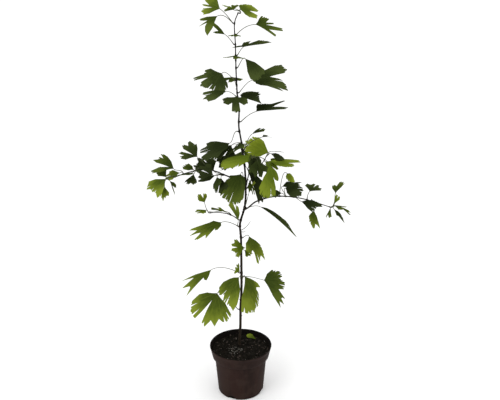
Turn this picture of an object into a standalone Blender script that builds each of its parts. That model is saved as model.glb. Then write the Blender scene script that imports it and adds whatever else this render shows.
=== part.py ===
"""A young ginkgo tree in a round nursery pot, for Blender 4.5.

Metres, +Z up. The origin is the middle of the pot's flat underside. +X is the
tree's right and -Y its front. The pot, the potting soil, the stem, each bough and
each spray of leaves is one closed solid.
"""

import math
import random
from collections import namedtuple

import bmesh
import bpy
from mathutils import Vector
from mathutils.bvhtree import BVHTree
from mathutils.geometry import interpolate_bezier

MM = 0.001
CLEAR = 0.3 * MM           # between pieces that touch on the real tree
MERGE = 0.01 * MM          # points closer than this are one

# ---------------------------------------------------------------- driving sizes

POT_HEIGHT = 150 * MM
POT_FOOT_RADIUS = 70 * MM
POT_WALL_TOP_RADIUS = 80 * MM
POT_BAND_FOOT_RADIUS = 87 * MM
POT_RIM_RADIUS = 95 * MM
POT_BAND_HEIGHT = 35 * MM
POT_WALL = 1.6 * MM
RIM_LIP = 2 * MM           # the height of the rim's slanted top edge
RIM_BLUNT = 0.5 * MM
FOOT_EDGE = (1.5 * MM, 2 * MM)   # the slant round the pot's foot: inward, upward
POT_SIDES = 32
NOTCH_WIDTH = 24 * MM
NOTCH_HEIGHT = 11 * MM
NOTCH_DEPTH = 9 * MM       # how far a drainage notch runs in under the foot
NOTCH_HEADINGS = (68, 158, 248, 338)
NOTCH_SIDES = 16

SOIL_BELOW_RIM = 12.5 * MM
SOIL_DROP = 2 * MM         # from the soil's level middle to where it meets the pot
SOIL_LEVEL_SHARE = 0.6     # of the pot's radius
SOIL_EDGE_GAP = 0.5 * MM

STEM_FOOT_RADIUS = 4.2 * MM
STEM_TIP_RADIUS = 1.3 * MM
ROOT_FLARE = 1.1 * MM      # added to the radius at the cut, gone within about 20 mm
FLARE_HEIGHT = 9 * MM
STEM_SIDES = 8
STEM_TAPER = 1.15          # over 1 keeps the foot stout for longer
BOUGH_SIDES = 6
CURVE_STEPS = 3            # between two given points of a limb
STRAIGHT_START = 0.4       # of a bough's first step, square to the stem

BLADE_THICK = 0.9 * MM
DROOP_RANGE = (0.04, 0.12)  # how far a blade's tip hangs, as shares of its reach
MOST_CUP = 0.10            # how far its sides turn up or down, as a share of its reach
STALK_RADIUS = 0.8 * MM
STALK_END = 0.8            # how thin it is at its end, as a share of its radius
STALK_SIDES = 4
STALK_IN_BLADE = 8 * MM
STALK_LIFT = 25            # degrees that it starts steeper than it runs
STALK_ARCH = (0.4, 0.3)    # how far it runs straight at its foot and at the blade
SPUR_LENGTH = 7 * MM
SPUR_RADIUS = 1.9 * MM
SPUR_SIDES = 6
SPUR_SHAPE = (0.9, 1.0, 0.7)   # its thickness at its foot, waist and top
SPUR_WAIST = 0.4           # where its waist is, as a share of its length
SPUR_TURN = 0.5            # where it turns up
SPUR_LIFT = 0.8            # how steeply it does

# ---------------------------------------------------------------- the limbs
# The stem's sway: height in metres, then millimetres to the right and to the back.
STEM_SWAY = (
    (0.150, -4, 16), (0.205, -1, 14), (0.270, 0, 12), (0.330, 3, 10), (0.450, 3, 7),
    (0.500, 2, 5), (0.540, 0, 3), (0.600, 15, 2), (0.690, 15, 0), (0.770, 6, 0),
    (0.820, -2, 0), (0.870, -1, 0), (0.910, -6, 0), (0.980, -9, 0), (1.040, -10, 0),
    (1.090, -12, 0), (1.118, -2, 0),
)

# A bough leaves the stem at a height, and its shape is given by legs: how far each
# leg goes, in which direction seen from above (0 is the right, 90 the back, 180 the
# left and 270 the front), and how steeply it rises.
Bough = namedtuple("Bough", "height foot_radius tip_radius legs")
Leg = namedtuple("Leg", "length heading rise")

BOUGHS = {
    "left_bough": Bough(0.672, 2.3 * MM, 1.3 * MM, (
        Leg(0.045, 190, 12), Leg(0.050, 187, 22), Leg(0.050, 187, 0), Leg(0.073, 190, -16))),
    "right_bough": Bough(0.588, 2.4 * MM, 1.2 * MM, (
        Leg(0.045, 355, 30), Leg(0.055, 352, 15), Leg(0.070, 354, -4), Leg(0.082, 354, -16))),
    "lower_left_bough": Bough(0.549, 1.6 * MM, 1.1 * MM, (
        Leg(0.030, 172, 28), Leg(0.030, 176, 12), Leg(0.030, 184, 0))),
    "front_bough": Bough(0.655, 2.0 * MM, 1.2 * MM, (
        Leg(0.040, 285, 50), Leg(0.055, 292, 66))),
    "back_bough": Bough(0.645, 2.2 * MM, 1.2 * MM, (
        Leg(0.050, 55, 38), Leg(0.060, 50, 38))),
    "rear_bough": Bough(0.736, 1.8 * MM, 1.1 * MM, (
        Leg(0.045, 98, 14), Leg(0.045, 92, 4))),
}

# ---------------------------------------------------------------- the leaves
# A form is the outline of a fan-shaped blade, corner by corner: how far round the fan
# a corner lies, in degrees from the blade's middle line, and how far out, as a share
# of the blade's reach. The first seven are used for small leaves, the others each have
# the name of the leaf that they belong to.
FORMS = {
    "fan": ((-58, 0.86), (-42, 0.96), (-26, 0.80), (-12, 0.98), (-2, 0.93), (3, 0.50),
        (8, 0.92), (18, 0.98), (29, 0.78), (44, 0.95), (58, 0.84)),
    "split": ((-60, 0.84), (-44, 0.94), (-31, 0.74), (-16, 0.98), (-4, 0.90), (0, 0.22),
        (4, 0.90), (16, 0.96), (29, 0.76), (44, 0.94), (60, 0.82)),
    "wedge": ((-38, 0.84), (-20, 0.96), (-4, 0.92), (4, 0.55), (10, 0.96), (24, 1.0),
        (38, 0.86)),
    "narrow": ((-20, 0.88), (-8, 1.0), (3, 0.70), (10, 0.96), (20, 0.84)),
    "leader": ((-95, 0.42), (-80, 0.60), (-62, 0.82), (-45, 0.98), (-26, 0.92), (-10, 0.97),
        (4, 0.85), (12, 0.45), (30, 0.90), (49, 1.04), (64, 0.80), (74, 0.50)),
    "top_left": ((-66, 0.60), (-60, 0.90), (-47, 0.94), (-38, 0.84), (-31, 0.38), (-28, 0.86),
        (-22, 0.90), (-18, 0.56), (-6, 0.86), (12, 0.95), (30, 0.88), (42, 0.62)),
    "top_left_low": ((-50, 0.40), (-47, 0.97), (-42, 1.55), (-34, 1.30), (-20, 0.90),
        (-8, 0.62), (2, 1.0), (8, 0.50), (20, 0.66), (30, 0.82), (37, 0.85), (46, 0.50)),
    "top_right": ((-84, 0.55), (-80, 0.92), (-50, 0.72), (-31, 0.42), (-22, 0.70), (-12, 0.66),
        (-4, 0.36), (8, 0.98), (18, 1.05), (31, 0.58), (38, 1.0), (43, 1.02)),
    "upper_back_left": ((-42, 0.45), (-35, 0.60), (-24, 0.48), (-10, 0.36), (4, 0.70),
        (14, 0.98), (22, 0.98), (28, 0.72), (34, 0.40)),
    "upper_back_right": ((-90, 0.50), (-82, 0.80), (-70, 0.55), (-60, 0.35), (-44, 0.95),
        (-26, 1.0), (-20, 0.55), (-8, 0.34), (12, 0.74), (40, 0.95), (56, 1.10), (62, 0.80)),
    "crown_front_right": ((-62, 0.45), (-46, 0.94), (-30, 0.98), (-18, 0.90), (-8, 1.0),
        (6, 1.06), (18, 1.14), (26, 1.0), (32, 0.70), (34, 0.35)),
    "crown_right": ((-60, 0.40), (-52, 0.68), (-46, 1.08), (-38, 1.20), (-28, 1.12),
        (-18, 1.12), (-9, 0.97), (-4, 0.50), (8, 0.76), (24, 1.0), (37, 1.16), (43, 0.86),
        (50, 1.22), (56, 0.64), (70, 0.45), (84, 0.28)),
    "crown_left": ((-76, 0.45), (-68, 0.62), (-44, 0.86), (-22, 0.80), (-2, 0.76), (12, 0.92),
        (24, 1.08), (32, 1.0), (38, 0.66), (42, 1.36), (47, 1.40), (52, 0.86), (64, 0.84),
        (76, 0.60)),
    "crown_front": ((-48, 0.45), (-42, 0.90), (-33, 1.15), (-24, 1.05), (-15, 1.14), (-6, 0.88),
        (6, 1.0), (18, 0.95), (26, 0.70), (40, 0.50)),
    "crown_middle": ((-92, 0.50), (-84, 0.76), (-64, 0.90), (-46, 0.78), (-34, 0.44),
        (-20, 0.96), (-4, 1.04), (13, 0.97), (30, 0.45), (42, 0.72), (62, 0.88), (82, 0.88),
        (92, 0.55)),
    "crown_back": ((-78, 0.50), (-62, 0.96), (-44, 1.28), (-30, 1.10), (-18, 0.92), (-6, 1.02),
        (4, 0.86), (14, 0.96), (24, 0.85), (40, 0.90), (58, 1.05), (66, 1.28), (72, 0.60)),
    "crown_low_right": ((-96, 0.45), (-90, 0.78), (-66, 0.66), (-40, 0.62), (-27, 1.0),
        (-20, 0.98), (-8, 0.60), (4, 0.58), (16, 0.84), (24, 1.12), (31, 1.10), (36, 0.55)),
    "lowest": ((-76, 0.40), (-66, 0.80), (-52, 0.90), (-43, 0.88), (-36, 0.77), (-26, 0.98),
        (-17, 0.82), (-8, 1.05), (0, 0.98), (3, 0.60), (8, 0.26), (12, 0.70), (14, 1.02),
        (30, 1.02), (48, 0.90), (62, 0.62), (72, 0.35)),
    "foot_right": ((-94, 0.34), (-80, 0.64), (-58, 0.80), (-38, 0.76), (-28, 0.64), (-14, 0.80),
        (8, 0.82), (17, 0.66), (26, 1.08), (32, 0.98), (36, 1.24), (40, 1.06), (45, 1.32),
        (48, 0.74)),
    "foot_front_left": ((-46, 0.45), (-39, 0.70), (-34, 0.95), (-28, 1.14), (-22, 1.0),
        (-5, 0.92), (3, 0.70), (12, 0.80), (22, 0.78), (36, 0.68), (50, 0.52), (62, 0.30),
        (72, 0.18)),
    "foot_back": ((-66, 0.40), (-60, 1.04), (-53, 1.10), (-46, 0.80), (-36, 0.60), (-24, 0.70),
        (2, 0.76), (16, 0.86), (30, 0.92), (40, 1.08), (56, 1.22), (64, 1.24), (68, 0.80)),
    "foot_left": ((-54, 0.24), (-48, 0.40), (-36, 0.38), (-24, 0.32), (-20, 1.0), (-14, 0.78),
        (-8, 0.72), (3, 0.90), (9, 0.62), (14, 0.50), (24, 0.86), (30, 0.45)),
    "low_left": ((-74, 0.32), (-60, 0.60), (-52, 0.62), (-46, 0.42), (-42, 1.02), (-34, 0.78),
        (-28, 1.04), (-14, 0.95), (-6, 0.66), (2, 0.94), (12, 0.92), (26, 0.70), (44, 1.02),
        (50, 1.0), (60, 0.64), (88, 0.45)),
    "node_back": ((-46, 0.36), (-36, 0.66), (-24, 0.76), (-8, 0.78), (8, 0.82), (20, 0.90),
        (30, 1.0), (37, 1.08), (40, 1.04)),
    "low_right": ((-72, 0.40), (-66, 0.74), (-52, 0.88), (-33, 1.06), (-26, 0.80), (-12, 0.86),
        (0, 1.03), (6, 0.98), (8, 0.62), (18, 0.55), (30, 0.80), (50, 0.85), (62, 0.60)),
    "hanging_back": ((-34, 0.30), (-29, 0.56), (-24, 0.82), (-14, 1.06), (-8, 0.96), (-1, 1.05),
        (3, 0.94), (8, 1.04)),
    "hanging_front": ((-84, 0.22), (-66, 0.40), (-52, 0.56), (-40, 0.88), (-31, 1.0),
        (-20, 1.0), (-8, 0.92), (4, 0.92), (14, 0.88), (26, 0.94), (37, 0.98), (42, 0.84),
        (50, 0.86), (66, 0.64), (82, 0.48)),
    "front_bright": ((-80, 0.60), (-75, 1.16), (-66, 0.98), (-58, 0.82), (-44, 0.58),
        (-34, 0.40), (-30, 0.78), (-20, 0.98), (-4, 0.96), (12, 1.04), (26, 1.12), (36, 1.12),
        (44, 1.0), (50, 0.62)),
    "front_inner": ((-66, 0.80), (-58, 1.16), (-46, 1.24), (-36, 0.64), (-30, 1.02),
        (-18, 1.18), (-8, 0.56), (4, 0.94), (18, 0.98), (28, 0.56), (40, 0.94), (54, 0.96),
        (66, 0.66), (78, 0.90), (92, 0.80)),
    "front_band": ((-62, 0.50), (-48, 0.84), (-38, 0.98), (-29, 1.10), (-22, 1.06), (-14, 0.96),
        (2, 0.80), (19, 0.62), (40, 0.45)),
    "back_bough_middle": ((-84, 0.50), (-74, 0.86), (-60, 0.95), (-46, 1.16), (-36, 1.40),
        (-22, 1.22), (-12, 0.80), (-4, 0.62), (14, 0.76), (34, 0.86), (49, 0.92), (66, 0.86),
        (84, 0.72)),
    "right_bough_foot": ((-64, 0.50), (-54, 0.72), (-38, 0.90), (-20, 1.0), (-4, 0.85),
        (14, 0.72), (30, 0.64), (54, 0.62), (76, 0.54), (92, 0.38)),
    "right_bough_front": ((-96, 0.62), (-84, 0.72), (-66, 0.80), (-50, 0.90), (-44, 0.56),
        (-24, 0.60), (-4, 0.80), (16, 1.06), (26, 1.10), (34, 1.26), (46, 1.14), (56, 0.88),
        (64, 0.50)),
    "right_bough_middle": ((-96, 0.38), (-70, 0.62), (-46, 0.74), (-30, 0.84), (-19, 0.90),
        (-10, 0.74), (2, 0.76), (14, 0.86), (25, 0.96), (30, 0.60)),
    "right_bough_outer": ((-44, 0.40), (-34, 0.70), (-27, 1.06), (-22, 0.90), (-12, 0.76),
        (-4, 0.70), (6, 0.95), (16, 1.0), (30, 0.88), (46, 0.84), (64, 0.72), (70, 0.40)),
    "tip_upper": ((-54, 0.62), (-46, 0.92), (-30, 0.82), (-16, 0.60), (-2, 0.98), (14, 1.04),
        (28, 1.0), (34, 0.60)),
    "tip_lower": ((-56, 0.45), (-44, 0.72), (-26, 0.85), (-8, 1.0), (-2, 0.70), (4, 0.45),
        (18, 0.42), (32, 0.38)),
    "back_bright": ((-92, 0.40), (-80, 0.60), (-66, 0.76), (-50, 0.84), (-38, 0.90),
        (-30, 0.78), (-14, 0.92), (0, 0.86), (12, 0.94), (26, 0.86), (34, 0.62)),
    "back_right": ((-20, 0.40), (-6, 0.58), (14, 0.70), (32, 0.82), (46, 0.92), (60, 0.80),
        (76, 0.68), (90, 0.55)),
    "mid_left": ((-66, 0.45), (-52, 0.62), (-46, 1.08), (-38, 1.02), (-29, 1.14), (-22, 1.20),
        (-11, 1.04), (-4, 0.76), (10, 0.96), (29, 0.96), (42, 0.80), (54, 0.96), (62, 0.86),
        (66, 0.60)),
    "left_bough_middle": ((-72, 0.70), (-64, 0.92), (-56, 0.96), (-51, 0.72), (-45, 1.0),
        (-36, 0.86), (-30, 0.24), (-22, 0.80), (-13, 0.94), (-4, 0.90), (6, 0.72), (14, 0.90),
        (23, 0.96), (33, 0.78), (46, 0.78), (52, 0.50)),
    "left_bough_outer": ((-80, 0.70), (-76, 1.26), (-70, 1.24), (-62, 0.80), (-52, 0.24),
        (-44, 0.85), (-38, 1.0), (-28, 0.78), (-16, 0.80), (-6, 0.62), (2, 0.86), (16, 0.80),
        (27, 0.70), (38, 0.40)),
    "left_end": ((-52, 0.60), (-46, 1.06), (-43, 1.30), (-35, 1.30), (-26, 0.98), (-10, 0.90),
        (6, 0.80), (20, 0.92), (34, 0.84), (50, 0.84), (66, 0.94), (76, 0.60)),
    "left_end_low": ((-42, 1.0), (-34, 1.20), (-22, 0.92), (-9, 1.0), (4, 0.78), (18, 1.06),
        (32, 0.86), (50, 0.84), (70, 0.66)),
    "left_end_right": ((-48, 0.85), (-40, 1.16), (-24, 1.0), (-6, 0.70), (6, 0.40), (14, 0.90),
        (21, 1.06), (27, 0.60)),
    "bend_upper": ((-86, 0.80), (-74, 1.16), (-50, 0.95), (-36, 0.72), (-18, 0.84), (-4, 0.72),
        (12, 0.86), (28, 0.92), (42, 1.18), (56, 0.90)),
    "bend_lower": ((-50, 0.62), (-44, 0.86), (-24, 0.90), (-12, 0.74), (2, 0.86), (14, 0.88),
        (22, 0.70), (32, 0.90), (38, 0.70)),
    "left_foot_low": ((-74, 0.60), (-58, 0.78), (-40, 0.80), (-26, 0.62), (-14, 0.80),
        (0, 0.88), (9, 0.96), (20, 0.74), (38, 0.80), (54, 0.74)),
    "lower_left_bough_tip": ((-80, 0.55), (-64, 0.74), (-46, 0.86), (-32, 0.94), (-14, 0.86),
        (-4, 0.42), (8, 0.90), (22, 1.02), (34, 1.06), (42, 0.80)),
    "left_foot_outer": ((-30, 0.40), (-21, 0.48), (-6, 0.78), (4, 1.08), (15, 1.16), (20, 0.78),
        (28, 0.46)),
}

# A leaf: its stalk's heading, rise and length, from the middle of its limb to the
# blade's foot, then the blade's heading, rise, roll and reach, and its form.
# Angles are in degrees and lengths in millimetres.
Leaf = namedtuple("Leaf", "heading rise stalk blade_heading blade_rise roll reach form")

# A spray: its limb, its place on it (a height on the stem, a share of the length on
# a bough), the heading of its spur, and its leaves.
Spray = namedtuple("Spray", "limb place heading leaves")

SPRAYS = {
    "leader_spray": Spray("stem", 1.118, 0, (
        Leaf(180, 62, 9, 198, 19, 15, 42, "narrow"),
        Leaf(0, 60, 9, 12, 0, -28, 55, "leader"))),
    "top_left_spray": Spray("stem", 1.091, 190, (
        Leaf(165, 43, 54, 172, 36, 58, 53, "top_left"),
        Leaf(218, 17, 57, 205, -24, 22, 56, "top_left_low"))),
    "top_right_spray": Spray("stem", 1.062, 320, (
        Leaf(340, 24, 63, 355, -1, -30, 72, "top_right"),
        Leaf(270, 4, 13, 269, -9, 0, 24, "fan"))),
    "upper_back_left_spray": Spray("stem", 1.038, 142, (
        Leaf(145, 37, 43, 160, 32, 25, 55, "upper_back_left"),)),
    "upper_back_right_spray": Spray("stem", 1.010, 40, (
        Leaf(36, 40, 34, 45, 21, 0, 70, "upper_back_right"),)),
    "upper_front_spray": Spray("stem", 0.998, 268, (
        Leaf(262, 42, 18, 262, -8, 0, 41, "fan"),)),
    "crown_front_right_spray": Spray("stem", 0.978, 317, (
        Leaf(315, 34, 43, 324, -43, -8, 66, "crown_front_right"),)),
    "crown_left_spray": Spray("stem", 0.945, 150, (
        Leaf(153, 22, 48, 180, -50, 62, 68, "crown_left"),)),
    "crown_rear_spray": Spray("stem", 0.932, 108, (
        Leaf(108, 24, 48, 112, -12, 0, 62, "fan"),)),
    "crown_right_spray": Spray("stem", 0.912, 26, (
        Leaf(24, 35, 58, 0, 12, -24, 92, "crown_right"),)),
    "crown_front_spray": Spray("stem", 0.901, 240, (
        Leaf(212, 25, 38, 200, -2, 15, 65, "crown_front"),
        Leaf(260, 6, 26, 265, -65, 0, 42, "crown_middle"))),
    "crown_back_spray": Spray("stem", 0.892, 50, (
        Leaf(57, 24, 16, 20, 18, -8, 58, "crown_back"),)),
    "crown_low_right_spray": Spray("stem", 0.834, 347, (
        Leaf(348, 31, 56, 353, 18, -10, 88, "crown_low_right"),)),
    "mid_left_spray": Spray("stem", 0.808, 217, (
        Leaf(217, -42, 45, 200, -14, 5, 88, "mid_left"),)),
    "mid_front_spray": Spray("stem", 0.775, 255, (
        Leaf(250, 2, 12, 240, -22, -25, 50, "fan"),
        Leaf(205, -40, 46, 214, -52, 20, 50, "split"))),
    "mid_back_spray": Spray("stem", 0.755, 50, (
        Leaf(49, 45, 57, 33, 27, 0, 40, "wedge"),
        Leaf(46, 19, 84, 41, 5, -5, 30, "wedge"))),
    "hanging_back_spray": Spray("stem", 0.714, 100, (
        Leaf(82, -24, 46, 346, -61, -34, 108, "hanging_back"),
        Leaf(125, -10, 38, 143, -15, 12, 58, "fan"))),
    "hanging_front_spray": Spray("stem", 0.664, 250, (
        Leaf(258, 30, 72, 222, -57, -5, 90, "hanging_front"),)),
    "node_front_spray": Spray("stem", 0.602, 290, (
        Leaf(40, 62, 28, 340, 75, 40, 42, "narrow"),)),
    "node_back_spray": Spray("stem", 0.582, 30, (
        Leaf(22, 3, 50, 15, -28, -5, 128, "node_back"),)),
    "low_left_spray": Spray("stem", 0.531, 225, (
        Leaf(199, 17, 59, 207, -14, -8, 105, "low_left"),
        Leaf(258, 45, 33, 245, 78, 35, 60, "wedge"))),
    "low_right_spray": Spray("stem", 0.496, 319, (
        Leaf(314, 19, 36, 308, -48, 32, 83, "low_right"),)),
    "low_small_spray": Spray("stem", 0.459, 280, (
        Leaf(289, 27, 31, 200, 8, 48, 40, "fan"),
        Leaf(330, -10, 11, 345, -25, -20, 27, "fan"))),
    "foot_left_spray": Spray("stem", 0.383, 200, (
        Leaf(198, 13, 95, 206, -21, 5, 110, "foot_left"),
        Leaf(253, 33, 22, 234, 55, 80, 26, "fan"))),
    "foot_front_spray": Spray("stem", 0.371, 290, (
        Leaf(256, 18, 31, 226, -32, 5, 96, "foot_front_left"),
        Leaf(337, 0, 72, 345, -10, -24, 78, "foot_right"))),
    "foot_back_spray": Spray("stem", 0.366, 50, (
        Leaf(66, -10, 24, 342, -55, 7, 112, "foot_back"),)),
    "lowest_spray": Spray("stem", 0.261, 182, (
        Leaf(182, 38, 89, 218, -50, 22, 100, "lowest"),)),
    "left_bough_foot_spray": Spray("left_bough", 0.28, 170, (
        Leaf(148, -10, 28, 168, -26, 30, 54, "left_foot_outer"),
        Leaf(215, -10, 22, 254, -66, -48, 43, "left_foot_low"),
        Leaf(133, 4, 44, 150, 44, 10, 62, "fan"),
        Leaf(217, 5, 35, 189, 26, -53, 50, "split"))),
    "left_bough_middle_spray": Spray("left_bough", 0.50, 150, (
        Leaf(143, 42, 49, 165, 46, 28, 56, "left_bough_middle"),)),
    "left_bough_bend_spray": Spray("left_bough", 0.60, 200, (
        Leaf(132, -8, 26, 158, 23, -8, 40, "bend_upper"),
        Leaf(215, -25, 20, 235, -47, 0, 40, "bend_lower"),
        Leaf(230, -4, 28, 226, 0, -10, 60, "fan"))),
    "left_bough_outer_spray": Spray("left_bough", 0.81, 155, (
        Leaf(152, 20, 34, 164, 50, 8, 65, "left_bough_outer"),)),
    "left_bough_end_spray": Spray("left_bough", 0.92, 230, (
        Leaf(191, 0, 24, 171, 53, 10, 36, "fan"),)),
    "left_bough_tip_spray": Spray("left_bough", 1.0, 190, (
        Leaf(226, 10, 12, 222, -20, -3, 64, "left_end"),
        Leaf(202, -56, 24, 276, -51, -62, 40, "left_end_low"),
        Leaf(92, -34, 14, 34, -58, -40, 40, "left_end_right"))),
    "right_bough_foot_spray": Spray("right_bough", 0.42, 55, (
        Leaf(55, 57, 71, 5, -51, -25, 42, "right_bough_foot"),)),
    "right_bough_front_spray": Spray("right_bough", 0.49, 262, (
        Leaf(258, 70, 28, 333, 10, -14, 60, "right_bough_front"),)),
    "right_bough_middle_spray": Spray("right_bough", 0.58, 300, (
        Leaf(307, -10, 33, 318, -8, -5, 68, "right_bough_middle"),)),
    "right_bough_upper_spray": Spray("right_bough", 0.73, 30, (
        Leaf(35, 68, 25, 50, 28, -10, 37, "fan"),)),
    "right_bough_outer_spray": Spray("right_bough", 0.78, 60, (
        Leaf(60, -57, 40, 271, -75, -68, 55, "right_bough_outer"),)),
    "right_bough_tip_spray": Spray("right_bough", 1.0, 350, (
        Leaf(38, 63, 42, 54, 57, 17, 38, "tip_upper"),
        Leaf(320, 42, 18, 351, 74, -29, 28, "wedge"),
        Leaf(15, 25, 11, 326, 3, 0, 39, "wedge"),
        Leaf(23, -2, 29, 4, -27, -15, 44, "narrow"),
        Leaf(265, 14, 19, 240, -41, -27, 35, "narrow"),
        Leaf(28, -30, 16, 346, -53, -9, 52, "tip_lower"))),
    "lower_left_bough_foot_spray": Spray("lower_left_bough", 0.34, 130, (
        Leaf(135, 14, 26, 139, 5, -13, 46, "wedge"),)),
    "lower_left_bough_tip_spray": Spray("lower_left_bough", 1.0, 185, (
        Leaf(160, 60, 34, 113, 58, -26, 32, "lower_left_bough_tip"),
        Leaf(236, 38, 20, 214, 0, -4, 36, "fan"))),
    "front_bough_tip_spray": Spray("front_bough", 1.0, 250, (
        Leaf(346, -12, 51, 293, -66, 43, 88, "front_bright"),
        Leaf(55, 28, 18, 44, -77, -62, 57, "front_inner"),
        Leaf(252, 72, 17, 202, -5, 0, 101, "front_band"))),
    "back_bough_middle_spray": Spray("back_bough", 0.55, 20, (
        Leaf(11, 34, 51, 7, -2, 0, 88, "back_bough_middle"),)),
    "rear_bough_tip_spray": Spray("rear_bough", 1.0, 92, (
        Leaf(140, -20, 24, 152, -18, 0, 50, "fan"),
        Leaf(85, 5, 28, 98, -6, 0, 66, "fan"),
        Leaf(70, -35, 26, 84, -50, 0, 62, "split"))),
    "back_bough_tip_spray": Spray("back_bough", 1.0, 60, (
        Leaf(54, 38, 28, 146, 32, 14, 88, "back_bright"),
        Leaf(50, 26, 33, 26, -8, -20, 51, "back_right"),
        Leaf(56, 30, 39, 58, -7, 5, 50, "wedge"))),
}

STALK_POINTS = 4
SMALL_REACH = 50 * MM      # a blade up to this reach is flat from foot to margin

# ---------------------------------------------------------------- materials


def material(name, colour, roughness):
    """A plain Principled material, colour in linear red, green and blue."""
    made = bpy.data.materials.new(name)
    made.use_nodes = True
    shader = made.node_tree.nodes["Principled BSDF"]
    shader.inputs["Base Color"].default_value = (*colour, 1.0)
    shader.inputs["Roughness"].default_value = roughness
    shader.inputs["Metallic"].default_value = 0.0
    made.diffuse_color = (*colour, 1.0)
    return made


# ---------------------------------------------------------------- shapes


def direction(heading, rise):
    """The unit vector of a compass heading and a rise, both in degrees."""
    turn, lift = math.radians(heading), math.radians(rise)
    level = math.cos(lift)
    return Vector((level * math.cos(turn), level * math.sin(turn), math.sin(lift)))


def smooth(points, steps):
    """A smooth curve through the points, with so many steps to each stretch."""
    ends = [points[0] * 2 - points[1], *points, points[-1] * 2 - points[-2]]
    curve = []
    for before, start, end, after in zip(ends, ends[1:], ends[2:], ends[3:]):
        for step in range(steps):
            t = step / steps
            curve.append(0.5 * (
                2 * start + (end - before) * t
                + (2 * before - 5 * start + 4 * end - after) * t ** 2
                + (3 * start - before - 3 * end + after) * t ** 3))
    return curve + [points[-1]]


def tube(name, points, radii, sides):
    """A closed tube along the points, as a mesh object."""
    curve = bpy.data.curves.new(name + "_curve", "CURVE")
    curve.dimensions = "3D"
    curve.bevel_depth = 1.0
    curve.bevel_resolution = (sides - 4) // 2
    curve.use_fill_caps = True
    spline = curve.splines.new("POLY")
    spline.points.add(len(points) - 1)
    for spot, place, radius in zip(spline.points, points, radii):
        spot.co = (*place, 1.0)
        spot.radius = radius
    guide = bpy.data.objects.new(name + "_guide", curve)
    bpy.context.scene.collection.objects.link(guide)
    seen = guide.evaluated_get(bpy.context.evaluated_depsgraph_get())
    mesh = bpy.data.meshes.new_from_object(seen)
    bpy.data.objects.remove(guide)
    shape = bmesh.new()
    shape.from_mesh(mesh)
    bmesh.ops.remove_doubles(shape, verts=shape.verts, dist=MERGE / 10)
    bmesh.ops.recalc_face_normals(shape, faces=shape.faces)
    shape.to_mesh(mesh)
    shape.free()
    mesh.name = name
    return bpy.data.objects.new(name, mesh)


def turned(name, profile, sides):
    """A solid turned round the Z axis, from a profile that runs down its outer side."""
    mesh = bpy.data.meshes.new(name)
    shape = bmesh.new()
    spots = [shape.verts.new((radius, 0.0, height)) for radius, height in profile]
    for start, end in zip(spots, spots[1:]):
        shape.edges.new((start, end))
    shape.to_mesh(mesh)
    shape.free()
    made = bpy.data.objects.new(name, mesh)
    screw = made.modifiers.new("Turn", "SCREW")
    screw.steps = screw.render_steps = sides
    screw.use_merge_vertices = True
    screw.merge_threshold = MERGE
    return made


def settled(made):
    """The object with its modifiers applied."""
    bpy.context.scene.collection.objects.link(made)
    seen = made.evaluated_get(bpy.context.evaluated_depsgraph_get())
    mesh = bpy.data.meshes.new_from_object(seen)
    bpy.context.scene.collection.objects.unlink(made)
    made.modifiers.clear()
    made.data = mesh
    return made


# ---------------------------------------------------------------- the pot and the soil

POT_WALL_TOP = POT_HEIGHT - POT_BAND_HEIGHT
SOIL_TOP = POT_HEIGHT - SOIL_BELOW_RIM


def band_radius(height):
    """The pot's outer radius at a height within its rim band."""
    share = (height - POT_WALL_TOP) / POT_BAND_HEIGHT
    return POT_BAND_FOOT_RADIUS + share * (POT_RIM_RADIUS - POT_BAND_FOOT_RADIUS)


def make_pot():
    """A thin moulded pot with a wide rim band and four notches in its foot."""
    ledge = POT_WALL_TOP + POT_WALL
    pot = turned("pot", (
        (0.0, POT_WALL),
        (POT_FOOT_RADIUS - POT_WALL, POT_WALL),
        (POT_WALL_TOP_RADIUS - POT_WALL, ledge),
        (POT_BAND_FOOT_RADIUS - POT_WALL, ledge),
        (band_radius(POT_HEIGHT - RIM_LIP) - POT_WALL, POT_HEIGHT),
        (POT_RIM_RADIUS - RIM_BLUNT, POT_HEIGHT),
        (POT_RIM_RADIUS, POT_HEIGHT - RIM_LIP),
        (band_radius(POT_HEIGHT - 2 * RIM_LIP), POT_HEIGHT - 2 * RIM_LIP),
        (POT_BAND_FOOT_RADIUS, POT_WALL_TOP),
        (POT_WALL_TOP_RADIUS, POT_WALL_TOP),
        (POT_FOOT_RADIUS, FOOT_EDGE[1]),
        (POT_FOOT_RADIUS - FOOT_EDGE[0], 0.0),
        (0.0, 0.0),
    ), POT_SIDES)
    cutters = bpy.data.collections["cutters"]
    for number, heading in enumerate(NOTCH_HEADINGS):
        cutter = bpy.data.objects.new(f"notch_{number}", notch_mesh(heading))
        cutter.hide_render = True
        cutter.display_type = "WIRE"
        cutters.objects.link(cutter)
    cut = pot.modifiers.new("Notches", "BOOLEAN")
    cut.operation = "DIFFERENCE"
    cut.operand_type = "COLLECTION"
    cut.collection = cutters
    return pot


def notch_mesh(heading):
    """A round-topped block that cuts one drainage notch, pointing along a heading."""
    mesh = bpy.data.meshes.new("notch")
    shape = bmesh.new()
    bmesh.ops.create_cone(
        shape, cap_ends=True, segments=NOTCH_SIDES, radius1=NOTCH_WIDTH / 2,
        radius2=NOTCH_WIDTH / 2, depth=2 * NOTCH_DEPTH)
    outward = direction(heading, 0)
    middle = outward * POT_FOOT_RADIUS
    for spot in shape.verts:
        along, up, across = spot.co.z, spot.co.x, spot.co.y
        squash = NOTCH_HEIGHT / (NOTCH_WIDTH / 2)
        spot.co = middle + outward * along + Vector((0, 0, up * squash)) \
            + across * Vector((outward.y, -outward.x, 0.0))
    shape.to_mesh(mesh)
    shape.free()
    return mesh


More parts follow.
